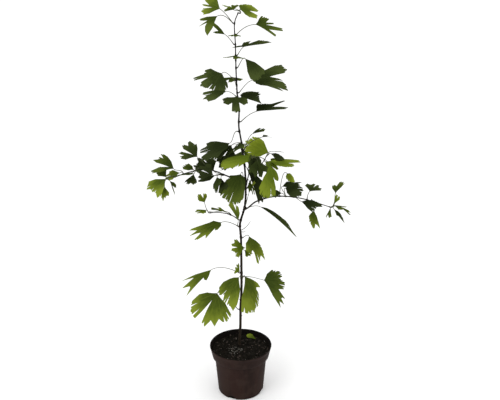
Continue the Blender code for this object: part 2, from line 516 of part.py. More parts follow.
def make_soil():
    """The potting soil: what fills the pot, with a slightly raised middle."""
    wall = POT_WALL + CLEAR
    ledge = POT_WALL_TOP + wall
    edge = SOIL_TOP - SOIL_DROP
    return turned("soil", (
        (0.0, SOIL_TOP),
        (POT_RIM_RADIUS * SOIL_LEVEL_SHARE, SOIL_TOP),
        (band_radius(edge) - POT_WALL - SOIL_EDGE_GAP, edge),
        (POT_BAND_FOOT_RADIUS - wall, ledge),
        (POT_WALL_TOP_RADIUS - wall, ledge),
        (POT_FOOT_RADIUS - wall, wall),
        (0.0, wall),
    ), POT_SIDES)


# ---------------------------------------------------------------- the limbs

Limb = namedtuple("Limb", "points radii")


def stem_limb():
    """The stem's middle line and radii, from its flat cut to its tip."""
    knots = [Vector((right * MM, back * MM, height)) for height, right, back in STEM_SWAY]
    foot = Vector((knots[0].x, knots[0].y, SOIL_TOP + CLEAR))
    points = [foot] + smooth(knots, CURVE_STEPS)
    radii = []
    for point in points:
        share = (point.z - foot.z) / (points[-1].z - foot.z)
        taper = STEM_FOOT_RADIUS + share ** STEM_TAPER * (STEM_TIP_RADIUS - STEM_FOOT_RADIUS)
        flare = ROOT_FLARE * math.exp(-(point.z - foot.z) / FLARE_HEIGHT)
        radii.append(taper + flare)
    return Limb(points, radii)


def limb_at(limb, place):
    """The point, direction and radius at a share of a limb's length."""
    lengths = [0.0]
    for start, end in zip(limb.points, limb.points[1:]):
        lengths.append(lengths[-1] + (end - start).length)
    target = place * lengths[-1]
    for index in range(len(lengths) - 1):
        if target <= lengths[index + 1] or index == len(lengths) - 2:
            break
    share = (target - lengths[index]) / (lengths[index + 1] - lengths[index])
    start, end = limb.points[index], limb.points[index + 1]
    radius = limb.radii[index] + share * (limb.radii[index + 1] - limb.radii[index])
    return start.lerp(end, share), (end - start).normalized(), radius


def stem_share(stem, height):
    """The share of the stem's length at a height."""
    whole = sum((b - a).length for a, b in zip(stem.points, stem.points[1:]))
    run = 0.0
    for start, end in zip(stem.points, stem.points[1:]):
        if end.z >= height:
            return (run + (end - start).length * (height - start.z) / (end.z - start.z)) / whole
        run += (end - start).length
    return 1.0


def off_limb(limb, place, heading):
    """Where a side shoot starts: just clear of its limb's bark, square to it."""
    centre, along, radius = limb_at(limb, place)
    if place >= 1.0:
        return centre + along * CLEAR, along
    outward = direction(heading, 0)
    outward = (outward - along * outward.dot(along)).normalized()
    return centre + outward * (radius + CLEAR), outward


def bough_limb(stem, bough):
    """A bough's middle line and radii, from just clear of the stem to its tip."""
    start, outward = off_limb(stem, stem_share(stem, bough.height), bough.legs[0].heading)
    knots = [start]
    for leg in bough.legs:
        knots.append(knots[-1] + direction(leg.heading, leg.rise) * leg.length)
    points = smooth(knots, CURVE_STEPS)
    points[1] = start + outward * (points[1] - start).length * STRAIGHT_START
    radii = []
    for index in range(len(points)):
        share = index / (len(points) - 1)
        radii.append(bough.foot_radius + share * (bough.tip_radius - bough.foot_radius))
    return Limb(points, radii)


# ---------------------------------------------------------------- the leaves


def blade(leaf, foot, dice):
    """A thin fan-shaped blade with its foot at a point, drooping and cupped a little."""
    corners = FORMS[leaf.form]
    widest = max(abs(corners[0][0]), abs(corners[-1][0]))
    reach = leaf.reach * MM
    droop = dice.uniform(*DROOP_RANGE)
    cup = dice.uniform(-MOST_CUP, MOST_CUP)
    along = direction(leaf.blade_heading, leaf.blade_rise)
    level = along.cross(Vector((0, 0, 1))).normalized()
    up = level.cross(along)
    roll = math.radians(leaf.roll)
    side = level * math.cos(roll) + up * math.sin(roll)
    face = side.cross(along)

    rings = 1 if reach < SMALL_REACH else 2
    mesh = bpy.data.meshes.new("blade")
    shape = bmesh.new()
    bmesh.ops.create_grid(
        shape, x_segments=len(corners) - 1, y_segments=rings, size=1.0)
    for spot in shape.verts:
        angle, share = corners[round((spot.co.x + 1) / 2 * (len(corners) - 1))]
        out = (spot.co.y + 1) / 2 * share
        place = angle / widest
        offset = -droop * out ** 2 + cup * out * place ** 2
        turn = math.radians(angle)
        spot.co = foot + reach * (
            along * out * math.cos(turn) + side * out * math.sin(turn) + face * offset)
    bmesh.ops.remove_doubles(shape, verts=shape.verts, dist=MERGE)
    shape.to_mesh(mesh)
    shape.free()
    made = bpy.data.objects.new("blade", mesh)
    shell = made.modifiers.new("Thickness", "SOLIDIFY")
    shell.thickness = BLADE_THICK
    shell.offset = 0.0
    return settled(made), along


def leaf_pieces(leaf, origin, root, spur_end, dice):
    """The stalk and the blade of one leaf, each a closed object."""
    foot = origin + direction(leaf.heading, leaf.rise) * leaf.stalk * MM
    fan, along = blade(leaf, foot, dice)
    end = foot + along * STALK_IN_BLADE
    arch = (foot - root).length
    out = (spur_end - root).normalized() + direction(leaf.heading, leaf.rise + STALK_LIFT)
    points = interpolate_bezier(
        root, root + out.normalized() * arch * STALK_ARCH[0],
        foot - along * arch * STALK_ARCH[1], foot, STALK_POINTS)
    points.append(end)
    radii = [STALK_RADIUS] * (len(points) - 1) + [STALK_RADIUS * STALK_END]
    return tube("stalk", points, radii, STALK_SIDES), fan


def tree_of(made):
    """A search tree of an object's faces."""
    return BVHTree.FromPolygons(
        [spot.co for spot in made.data.vertices],
        [tuple(face.vertices) for face in made.data.polygons])


def closed(mesh):
    """Whether every edge of a mesh lies between exactly two faces."""
    shape = bmesh.new()
    shape.from_mesh(mesh)
    answer = all(edge.is_manifold for edge in shape.edges)
    shape.free()
    return answer


def union(pieces, solver):
    """The mesh of the first piece joined with the others."""
    first = pieces[0]
    rest = bpy.data.collections.new("rest")
    for piece in pieces[1:]:
        rest.objects.link(piece)
    join = first.modifiers.new("Fuse", "BOOLEAN")
    join.operation = "UNION"
    join.operand_type = "COLLECTION"
    join.collection = rest
    join.solver = solver
    bpy.context.scene.collection.objects.link(first)
    seen = first.evaluated_get(bpy.context.evaluated_depsgraph_get())
    mesh = bpy.data.meshes.new_from_object(seen)
    bpy.context.scene.collection.objects.unlink(first)
    first.modifiers.clear()
    bpy.data.collections.remove(rest)
    return mesh


def fused(name, pieces):
    """One closed object from overlapping closed ones."""
    mesh = union(pieces, "EXACT")
    if not closed(mesh):
        mesh = union(pieces, "MANIFOLD")
    for piece in pieces:
        bpy.data.objects.remove(piece)
    mesh.name = name
    return bpy.data.objects.new(name, mesh)


def make_spray(name, spray, limbs, taken):
    """A spur with its leaves. A leaf that would touch what is there is left out."""
    limb = limbs[spray.limb]
    place = stem_share(limb, spray.place) if spray.limb == "stem" else spray.place
    origin = limb_at(limb, place)[0]
    start, outward = off_limb(limb, place, spray.heading)
    lift = (outward + Vector((0, 0, SPUR_LIFT))).normalized()
    spur_points = [
        start, start + outward * SPUR_LENGTH * SPUR_WAIST,
        start + outward * SPUR_LENGTH * SPUR_TURN + lift * SPUR_LENGTH * (1 - SPUR_TURN)]
    spur = tube("spur", spur_points, [SPUR_RADIUS * share for share in SPUR_SHAPE], SPUR_SIDES)
    root = spur_points[1].lerp(spur_points[2], 0.5)
    pieces = [spur]
    for number, leaf in enumerate(spray.leaves):
        dice = random.Random(f"{name} {number}")
        parts = leaf_pieces(leaf, origin, root, spur_points[2], dice)
        touched = [other for other, tree in taken.items()
                   if any(tree_of(part).overlap(tree) for part in parts)]
        if touched:
            print(f"{name}: leaf {number} would touch {touched} and is left out")
            for part in parts:
                bpy.data.objects.remove(part)
            continue
        pieces += parts
    return fused(name, pieces)


# ---------------------------------------------------------------- the whole tree


def clear_scene():
    """An empty scene with the two collections that the parts go in."""
    for old in list(bpy.data.objects):
        bpy.data.objects.remove(old)
    for name in ("ginkgo_tree", "cutters"):
        made = bpy.data.collections.new(name)
        bpy.context.scene.collection.children.link(made)


def keep(made, finish):
    """Puts a finished part in the tree's collection, with its material."""
    made.data.materials.clear()
    made.data.materials.append(finish)
    bpy.data.collections["ginkgo_tree"].objects.link(made)
    return made


def main():
    """Builds the pot, the soil, the limbs and the sprays."""
    clear_scene()
    plastic = material("pot_plastic", (0.030, 0.018, 0.015), 0.45)
    compost = material("compost", (0.018, 0.014, 0.011), 0.95)
    bark = material("bark", (0.095, 0.068, 0.042), 0.80)
    green = material("leaf_green", (0.075, 0.135, 0.022), 0.50)

    pot = keep(make_pot(), plastic)
    pot.data.shade_smooth()
    keep(make_soil(), compost)

    stem = stem_limb()
    limbs = {"stem": stem}
    taken = {}
    made = keep(tube("stem", stem.points, stem.radii, STEM_SIDES), bark)
    taken["stem"] = tree_of(made)
    for name, bough in BOUGHS.items():
        limbs[name] = bough_limb(stem, bough)
        made = keep(tube(name, limbs[name].points, limbs[name].radii, BOUGH_SIDES), bark)
        taken[name] = tree_of(made)
    for name, spray in SPRAYS.items():
        made = keep(make_spray(name, spray, limbs, taken), green)
        taken[name] = tree_of(made)


main()
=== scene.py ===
# %% [markdown]
# # A young ginkgo tree in a nursery pot
#
# The tree is two or three years old: one thin stem, six thin boughs, and some eighty
# fan-shaped leaves on long stalks. Its solids come packed in model.glb, and
# stay where they are. This lesson dresses them. It makes a moulded plastic pot, a
# bed of crumbly compost, bark with relief, and every leaf again with teeth, veins
# and ruffles, in the place that the solids keep for it.

# %% Load the imported solids
import math
import random
from collections import namedtuple

import bpy
from mathutils import Euler, Matrix, Vector, noise
from mathutils.geometry import interpolate_bezier


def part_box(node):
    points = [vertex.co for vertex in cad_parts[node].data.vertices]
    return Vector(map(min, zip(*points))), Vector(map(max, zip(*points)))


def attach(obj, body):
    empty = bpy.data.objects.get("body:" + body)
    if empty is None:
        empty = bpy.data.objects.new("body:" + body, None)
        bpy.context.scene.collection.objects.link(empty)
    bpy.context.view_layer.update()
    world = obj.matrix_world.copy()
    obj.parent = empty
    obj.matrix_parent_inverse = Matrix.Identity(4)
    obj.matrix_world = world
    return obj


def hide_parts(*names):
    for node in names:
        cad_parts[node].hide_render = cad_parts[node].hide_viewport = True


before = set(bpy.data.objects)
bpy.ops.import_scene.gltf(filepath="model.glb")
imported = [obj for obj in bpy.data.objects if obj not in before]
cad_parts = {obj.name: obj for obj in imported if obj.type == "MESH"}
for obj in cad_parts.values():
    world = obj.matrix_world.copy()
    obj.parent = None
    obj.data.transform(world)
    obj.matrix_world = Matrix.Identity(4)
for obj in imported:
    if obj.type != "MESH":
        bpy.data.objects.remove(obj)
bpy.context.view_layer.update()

MM = 0.001
bpy.ops.object.select_all(action="DESELECT")

# %% [markdown]
# ## Sizes that come from the solids
#
# A dressed piece has to sit exactly on its solid. So its sizes aren't typed again
# where the solid can say them: the pot's height and rim come from its box, and the
# level of the compost from the soil's box.

# %% Read the sizes
pot_low, pot_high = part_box("pot")
soil_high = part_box("soil")[1]
POT_HEIGHT = pot_high.z
POT_RIM_RADIUS = (pot_high.x - pot_low.x) / 2
POT_WALL = 1.6 * MM
POT_FOOT_RADIUS = 70 * MM
POT_WALL_TOP_RADIUS = 80 * MM
POT_BAND_FOOT_RADIUS = 87 * MM
POT_WALL_TOP = POT_HEIGHT - 35 * MM
SOIL_TOP = soil_high.z
CLEAR = 0.3 * MM
print("pot height", round(POT_HEIGHT, 4), "and rim radius", round(POT_RIM_RADIUS, 4))
print("compost level", round(SOIL_TOP, 4))

# %% [markdown]
# ## How the tree grows
#
# The boughs and leaves are placed by the rule that the solids follow, so that they
# land on the same spots. The stem sways a few millimetres to the sides. A bough is a
# chain of legs, each with a length, a compass heading and a rise. A spray is a short
# spur on a limb, and a leaf on it has a stalk, a heading, a rise, a roll and a reach.
# Headings are degrees seen from above: 0 is the right, 90 the back, 180 the left and
# 270 the front. Colours are dealt out here too: each leaf names its tone, which holds
# the leaf's own green together with painted shade or painted light.

# %% The limbs
STEM_FOOT_RADIUS = 4.2 * MM
STEM_TIP_RADIUS = 1.3 * MM
STEM_TAPER = 1.15          # above 1, so that the stem keeps its girth low down
ROOT_FLARE = 1.1 * MM
FLARE_HEIGHT = 9 * MM

# height in metres, then millimetres to the right and to the back
STEM_SWAY = (
    (0.150, -4, 16), (0.205, -1, 14), (0.270, 0, 12), (0.330, 3, 10), (0.450, 3, 7),
    (0.500, 2, 5), (0.540, 0, 3), (0.600, 15, 2), (0.690, 15, 0), (0.770, 6, 0),
    (0.820, -2, 0), (0.870, -1, 0), (0.910, -6, 0), (0.980, -9, 0), (1.040, -10, 0),
    (1.090, -12, 0), (1.118, -2, 0),
)

Bough = namedtuple("Bough", "height foot_radius tip_radius legs")
Leg = namedtuple("Leg", "length heading rise")

BOUGHS = {
    "left_bough": Bough(0.672, 2.3 * MM, 1.3 * MM, (
        Leg(0.045, 190, 12), Leg(0.050, 187, 22), Leg(0.050, 187, 0), Leg(0.073, 190, -16))),
    "right_bough": Bough(0.588, 2.4 * MM, 1.2 * MM, (
        Leg(0.045, 355, 30), Leg(0.055, 352, 15), Leg(0.070, 354, -4), Leg(0.082, 354, -16))),
    "lower_left_bough": Bough(0.549, 1.6 * MM, 1.1 * MM, (
        Leg(0.030, 172, 28), Leg(0.030, 176, 12), Leg(0.030, 184, 0))),
    "front_bough": Bough(0.655, 2.0 * MM, 1.2 * MM, (
        Leg(0.040, 285, 50), Leg(0.055, 292, 66))),
    "back_bough": Bough(0.645, 2.2 * MM, 1.2 * MM, (
        Leg(0.050, 55, 38), Leg(0.060, 50, 38))),
    "rear_bough": Bough(0.736, 1.8 * MM, 1.1 * MM, (
        Leg(0.045, 98, 14), Leg(0.045, 92, 4))),
}
print("legs of the boughs:", sum(len(bough.legs) for bough in BOUGHS.values()))

# %% The outlines of the leaves
# A form is a fan's outline, corner by corner: how far round the fan a corner lies, in
# degrees from the middle line, and how far out, as a share of the blade's reach.
FORMS = {
    "fan": ((-58, 0.86), (-42, 0.96), (-26, 0.80), (-12, 0.98), (-2, 0.93), (3, 0.50),
        (8, 0.92), (18, 0.98), (29, 0.78), (44, 0.95), (58, 0.84)),
    "split": ((-60, 0.84), (-44, 0.94), (-31, 0.74), (-16, 0.98), (-4, 0.90), (0, 0.22),
        (4, 0.90), (16, 0.96), (29, 0.76), (44, 0.94), (60, 0.82)),
    "wedge": ((-38, 0.84), (-20, 0.96), (-4, 0.92), (4, 0.55), (10, 0.96), (24, 1.0),
        (38, 0.86)),
    "narrow": ((-20, 0.88), (-8, 1.0), (3, 0.70), (10, 0.96), (20, 0.84)),
    "leader": ((-95, 0.42), (-80, 0.60), (-62, 0.82), (-45, 0.98), (-26, 0.92), (-10, 0.97),
        (4, 0.85), (12, 0.45), (30, 0.90), (49, 1.04), (64, 0.80), (74, 0.50)),
    "top_left": ((-66, 0.60), (-60, 0.90), (-47, 0.94), (-38, 0.84), (-31, 0.38), (-28, 0.86),
        (-22, 0.90), (-18, 0.56), (-6, 0.86), (12, 0.95), (30, 0.88), (42, 0.62)),
    "top_left_low": ((-50, 0.40), (-47, 0.97), (-42, 1.55), (-34, 1.30), (-20, 0.90),
        (-8, 0.62), (2, 1.0), (8, 0.50), (20, 0.66), (30, 0.82), (37, 0.85), (46, 0.50)),
    "top_right": ((-84, 0.55), (-80, 0.92), (-50, 0.72), (-31, 0.42), (-22, 0.70), (-12, 0.66),
        (-4, 0.36), (8, 0.98), (18, 1.05), (31, 0.58), (38, 1.0), (43, 1.02)),
    "upper_back_left": ((-42, 0.45), (-35, 0.60), (-24, 0.48), (-10, 0.36), (4, 0.70),
        (14, 0.98), (22, 0.98), (28, 0.72), (34, 0.40)),
    "upper_back_right": ((-90, 0.50), (-82, 0.80), (-70, 0.55), (-60, 0.35), (-44, 0.95),
        (-26, 1.0), (-20, 0.55), (-8, 0.34), (12, 0.74), (40, 0.95), (56, 1.10), (62, 0.80)),
    "crown_front_right": ((-62, 0.45), (-46, 0.94), (-30, 0.98), (-18, 0.90), (-8, 1.0),
        (6, 1.06), (18, 1.14), (26, 1.0), (32, 0.70), (34, 0.35)),
    "crown_right": ((-60, 0.40), (-52, 0.68), (-46, 1.08), (-38, 1.20), (-28, 1.12),
        (-18, 1.12), (-9, 0.97), (-4, 0.50), (8, 0.76), (24, 1.0), (37, 1.16), (43, 0.86),
        (50, 1.22), (56, 0.64), (70, 0.45), (84, 0.28)),
    "crown_left": ((-76, 0.45), (-68, 0.62), (-44, 0.86), (-22, 0.80), (-2, 0.76), (12, 0.92),
        (24, 1.08), (32, 1.0), (38, 0.66), (42, 1.36), (47, 1.40), (52, 0.86), (64, 0.84),
        (76, 0.60)),
    "crown_front": ((-48, 0.45), (-42, 0.90), (-33, 1.15), (-24, 1.05), (-15, 1.14), (-6, 0.88),
        (6, 1.0), (18, 0.95), (26, 0.70), (40, 0.50)),
    "crown_middle": ((-92, 0.50), (-84, 0.76), (-64, 0.90), (-46, 0.78), (-34, 0.44),
        (-20, 0.96), (-4, 1.04), (13, 0.97), (30, 0.45), (42, 0.72), (62, 0.88), (82, 0.88),
        (92, 0.55)),
    "crown_back": ((-78, 0.50), (-62, 0.96), (-44, 1.28), (-30, 1.10), (-18, 0.92), (-6, 1.02),
        (4, 0.86), (14, 0.96), (24, 0.85), (40, 0.90), (58, 1.05), (66, 1.28), (72, 0.60)),
    "crown_low_right": ((-96, 0.45), (-90, 0.78), (-66, 0.66), (-40, 0.62), (-27, 1.0),
        (-20, 0.98), (-8, 0.60), (4, 0.58), (16, 0.84), (24, 1.12), (31, 1.10), (36, 0.55)),
    "lowest": ((-76, 0.40), (-66, 0.80), (-52, 0.90), (-43, 0.88), (-36, 0.77), (-26, 0.98),
        (-17, 0.82), (-8, 1.05), (0, 0.98), (3, 0.60), (8, 0.26), (12, 0.70), (14, 1.02),
        (30, 1.02), (48, 0.90), (62, 0.62), (72, 0.35)),
    "foot_right": ((-94, 0.34), (-80, 0.64), (-58, 0.80), (-38, 0.76), (-28, 0.64), (-14, 0.80),
        (8, 0.82), (17, 0.66), (26, 1.08), (32, 0.98), (36, 1.24), (40, 1.06), (45, 1.32),
        (48, 0.74)),
    "foot_front_left": ((-46, 0.45), (-39, 0.70), (-34, 0.95), (-28, 1.14), (-22, 1.0),
        (-5, 0.92), (3, 0.70), (12, 0.80), (22, 0.78), (36, 0.68), (50, 0.52), (62, 0.30),
        (72, 0.18)),
    "foot_back": ((-66, 0.40), (-60, 1.04), (-53, 1.10), (-46, 0.80), (-36, 0.60), (-24, 0.70),
        (2, 0.76), (16, 0.86), (30, 0.92), (40, 1.08), (56, 1.22), (64, 1.24), (68, 0.80)),
    "foot_left": ((-54, 0.24), (-48, 0.40), (-36, 0.38), (-24, 0.32), (-20, 1.0), (-14, 0.78),
        (-8, 0.72), (3, 0.90), (9, 0.62), (14, 0.50), (24, 0.86), (30, 0.45)),
    "low_left": ((-74, 0.32), (-60, 0.60), (-52, 0.62), (-46, 0.42), (-42, 1.02), (-34, 0.78),
        (-28, 1.04), (-14, 0.95), (-6, 0.66), (2, 0.94), (12, 0.92), (26, 0.70), (44, 1.02),
        (50, 1.0), (60, 0.64), (88, 0.45)),
    "node_back": ((-46, 0.36), (-36, 0.66), (-24, 0.76), (-8, 0.78), (8, 0.82), (20, 0.90),
        (30, 1.0), (37, 1.08), (40, 1.04)),
    "low_right": ((-72, 0.40), (-66, 0.74), (-52, 0.88), (-33, 1.06), (-26, 0.80), (-12, 0.86),
        (0, 1.03), (6, 0.98), (8, 0.62), (18, 0.55), (30, 0.80), (50, 0.85), (62, 0.60)),
    "hanging_back": ((-34, 0.30), (-29, 0.56), (-24, 0.82), (-14, 1.06), (-8, 0.96), (-1, 1.05),
        (3, 0.94), (8, 1.04)),
    "hanging_front": ((-84, 0.22), (-66, 0.40), (-52, 0.56), (-40, 0.88), (-31, 1.0),
        (-20, 1.0), (-8, 0.92), (4, 0.92), (14, 0.88), (26, 0.94), (37, 0.98), (42, 0.84),
        (50, 0.86), (66, 0.64), (82, 0.48)),
    "front_bright": ((-80, 0.60), (-75, 1.16), (-66, 0.98), (-58, 0.82), (-44, 0.58),
        (-34, 0.40), (-30, 0.78), (-20, 0.98), (-4, 0.96), (12, 1.04), (26, 1.12), (36, 1.12),
        (44, 1.0), (50, 0.62)),
    "front_inner": ((-66, 0.80), (-58, 1.16), (-46, 1.24), (-36, 0.64), (-30, 1.02),
        (-18, 1.18), (-8, 0.56), (4, 0.94), (18, 0.98), (28, 0.56), (40, 0.94), (54, 0.96),
        (66, 0.66), (78, 0.90), (92, 0.80)),
    "front_band": ((-62, 0.50), (-48, 0.84), (-38, 0.98), (-29, 1.10), (-22, 1.06), (-14, 0.96),
        (2, 0.80), (19, 0.62), (40, 0.45)),
    "back_bough_middle": ((-84, 0.50), (-74, 0.86), (-60, 0.95), (-46, 1.16), (-36, 1.40),
        (-22, 1.22), (-12, 0.80), (-4, 0.62), (14, 0.76), (34, 0.86), (49, 0.92), (66, 0.86),
        (84, 0.72)),
    "right_bough_foot": ((-64, 0.50), (-54, 0.72), (-38, 0.90), (-20, 1.0), (-4, 0.85),
        (14, 0.72), (30, 0.64), (54, 0.62), (76, 0.54), (92, 0.38)),
    "right_bough_front": ((-96, 0.62), (-84, 0.72), (-66, 0.80), (-50, 0.90), (-44, 0.56),
        (-24, 0.60), (-4, 0.80), (16, 1.06), (26, 1.10), (34, 1.26), (46, 1.14), (56, 0.88),
        (64, 0.50)),
    "right_bough_middle": ((-96, 0.38), (-70, 0.62), (-46, 0.74), (-30, 0.84), (-19, 0.90),
        (-10, 0.74), (2, 0.76), (14, 0.86), (25, 0.96), (30, 0.60)),
    "right_bough_outer": ((-44, 0.40), (-34, 0.70), (-27, 1.06), (-22, 0.90), (-12, 0.76),
        (-4, 0.70), (6, 0.95), (16, 1.0), (30, 0.88), (46, 0.84), (64, 0.72), (70, 0.40)),
    "tip_upper": ((-54, 0.62), (-46, 0.92), (-30, 0.82), (-16, 0.60), (-2, 0.98), (14, 1.04),
        (28, 1.0), (34, 0.60)),
    "tip_lower": ((-56, 0.45), (-44, 0.72), (-26, 0.85), (-8, 1.0), (-2, 0.70), (4, 0.45),
        (18, 0.42), (32, 0.38)),
    "back_bright": ((-92, 0.40), (-80, 0.60), (-66, 0.76), (-50, 0.84), (-38, 0.90),
        (-30, 0.78), (-14, 0.92), (0, 0.86), (12, 0.94), (26, 0.86), (34, 0.62)),
    "back_right": ((-20, 0.40), (-6, 0.58), (14, 0.70), (32, 0.82), (46, 0.92), (60, 0.80),
        (76, 0.68), (90, 0.55)),
    "mid_left": ((-66, 0.45), (-52, 0.62), (-46, 1.08), (-38, 1.02), (-29, 1.14), (-22, 1.20),
        (-11, 1.04), (-4, 0.76), (10, 0.96), (29, 0.96), (42, 0.80), (54, 0.96), (62, 0.86),
        (66, 0.60)),
    "left_bough_middle": ((-72, 0.70), (-64, 0.92), (-56, 0.96), (-51, 0.72), (-45, 1.0),
        (-36, 0.86), (-30, 0.24), (-22, 0.80), (-13, 0.94), (-4, 0.90), (6, 0.72), (14, 0.90),
        (23, 0.96), (33, 0.78), (46, 0.78), (52, 0.50)),
    "left_bough_outer": ((-80, 0.70), (-76, 1.26), (-70, 1.24), (-62, 0.80), (-52, 0.24),
        (-44, 0.85), (-38, 1.0), (-28, 0.78), (-16, 0.80), (-6, 0.62), (2, 0.86), (16, 0.80),
        (27, 0.70), (38, 0.40)),
    "left_end": ((-52, 0.60), (-46, 1.06), (-43, 1.30), (-35, 1.30), (-26, 0.98), (-10, 0.90),
        (6, 0.80), (20, 0.92), (34, 0.84), (50, 0.84), (66, 0.94), (76, 0.60)),
    "left_end_low": ((-42, 1.0), (-34, 1.20), (-22, 0.92), (-9, 1.0), (4, 0.78), (18, 1.06),
        (32, 0.86), (50, 0.84), (70, 0.66)),
    "left_end_right": ((-48, 0.85), (-40, 1.16), (-24, 1.0), (-6, 0.70), (6, 0.40), (14, 0.90),
        (21, 1.06), (27, 0.60)),
    "bend_upper": ((-86, 0.80), (-74, 1.16), (-50, 0.95), (-36, 0.72), (-18, 0.84), (-4, 0.72),
        (12, 0.86), (28, 0.92), (42, 1.18), (56, 0.90)),
    "bend_lower": ((-50, 0.62), (-44, 0.86), (-24, 0.90), (-12, 0.74), (2, 0.86), (14, 0.88),
        (22, 0.70), (32, 0.90), (38, 0.70)),
    "left_foot_low": ((-74, 0.60), (-58, 0.78), (-40, 0.80), (-26, 0.62), (-14, 0.80),
        (0, 0.88), (9, 0.96), (20, 0.74), (38, 0.80), (54, 0.74)),
    "lower_left_bough_tip": ((-80, 0.55), (-64, 0.74), (-46, 0.86), (-32, 0.94), (-14, 0.86),
        (-4, 0.42), (8, 0.90), (22, 1.02), (34, 1.06), (42, 0.80)),
    "left_foot_outer": ((-30, 0.40), (-21, 0.48), (-6, 0.78), (4, 1.08), (15, 1.16), (20, 0.78),
        (28, 0.46)),
}

# %% [markdown]
# ### Slits in the blades
#
# A blade splits along its veins as it opens, so narrow slits part many of the larger
# ones. Each could be typed into its outline as three more corners. A short rule lets
# them in instead, so that every slit is as narrow as the next, and the outlines stay
# easy to read.

# %% Let the slits in
# for each form: the angle of a slit, and how far out it starts
SLITS = {
    "crown_left": ((-12, 0.50), (5, 0.55)),
    "crown_front": ((0, 0.55),),
    "crown_right": ((16, 0.60),),
    "hanging_front": ((-2, 0.52),),
    "mid_left": ((3, 0.50), (19, 0.62)),
    "lowest": ((-59, 0.62), (22, 0.72), (39, 0.70)),
    "foot_front_left": ((-13, 0.66), (7, 0.52)),
    "foot_back": ((-11, 0.58), (9, 0.52), (23, 0.72)),
    "foot_right": ((-48, 0.60), (-3, 0.56)),
    "low_left": ((-21, 0.68), (7, 0.64)),
    "low_right": ((-6, 0.64),),
    "right_bough_front": ((-14, 0.42), (6, 0.34)),
    "right_bough_middle": ((-38, 0.56), (8, 0.50)),
    "back_bright": ((-58, 0.60), (-22, 0.66), (6, 0.68)),
    "front_bright": ((4, 0.66),),
    "back_bough_middle": ((5, 0.48), (24, 0.60)),
    "left_end": ((-2, 0.60), (27, 0.64)),
    "left_foot_low": ((-7, 0.50),),
}
SLIT_HALF = 1.6            # degrees from a slit's middle to its side


def with_slit(corners, angle, start):
    """A form's corners with one narrow slit let into its margin."""
    after = next(index for index, corner in enumerate(corners) if corner[0] > angle)
    (low, near), (high, far) = corners[after - 1:after + 1]
    out = near + (far - near) * (angle - low) / (high - low)
    slit = ((angle - SLIT_HALF, out), (angle, start), (angle + SLIT_HALF, out))
    return corners[:after] + slit + corners[after:]


for form, slits in SLITS.items():
    for angle, start in slits:
        FORMS[form] = with_slit(FORMS[form], angle, start)
print("forms:", len(FORMS), "with slits:", len(SLITS))

# %% The sprays of leaves
Leaf = namedtuple("Leaf", "heading rise stalk blade_heading blade_rise roll reach form tone")
Spray = namedtuple("Spray", "limb place heading leaves")

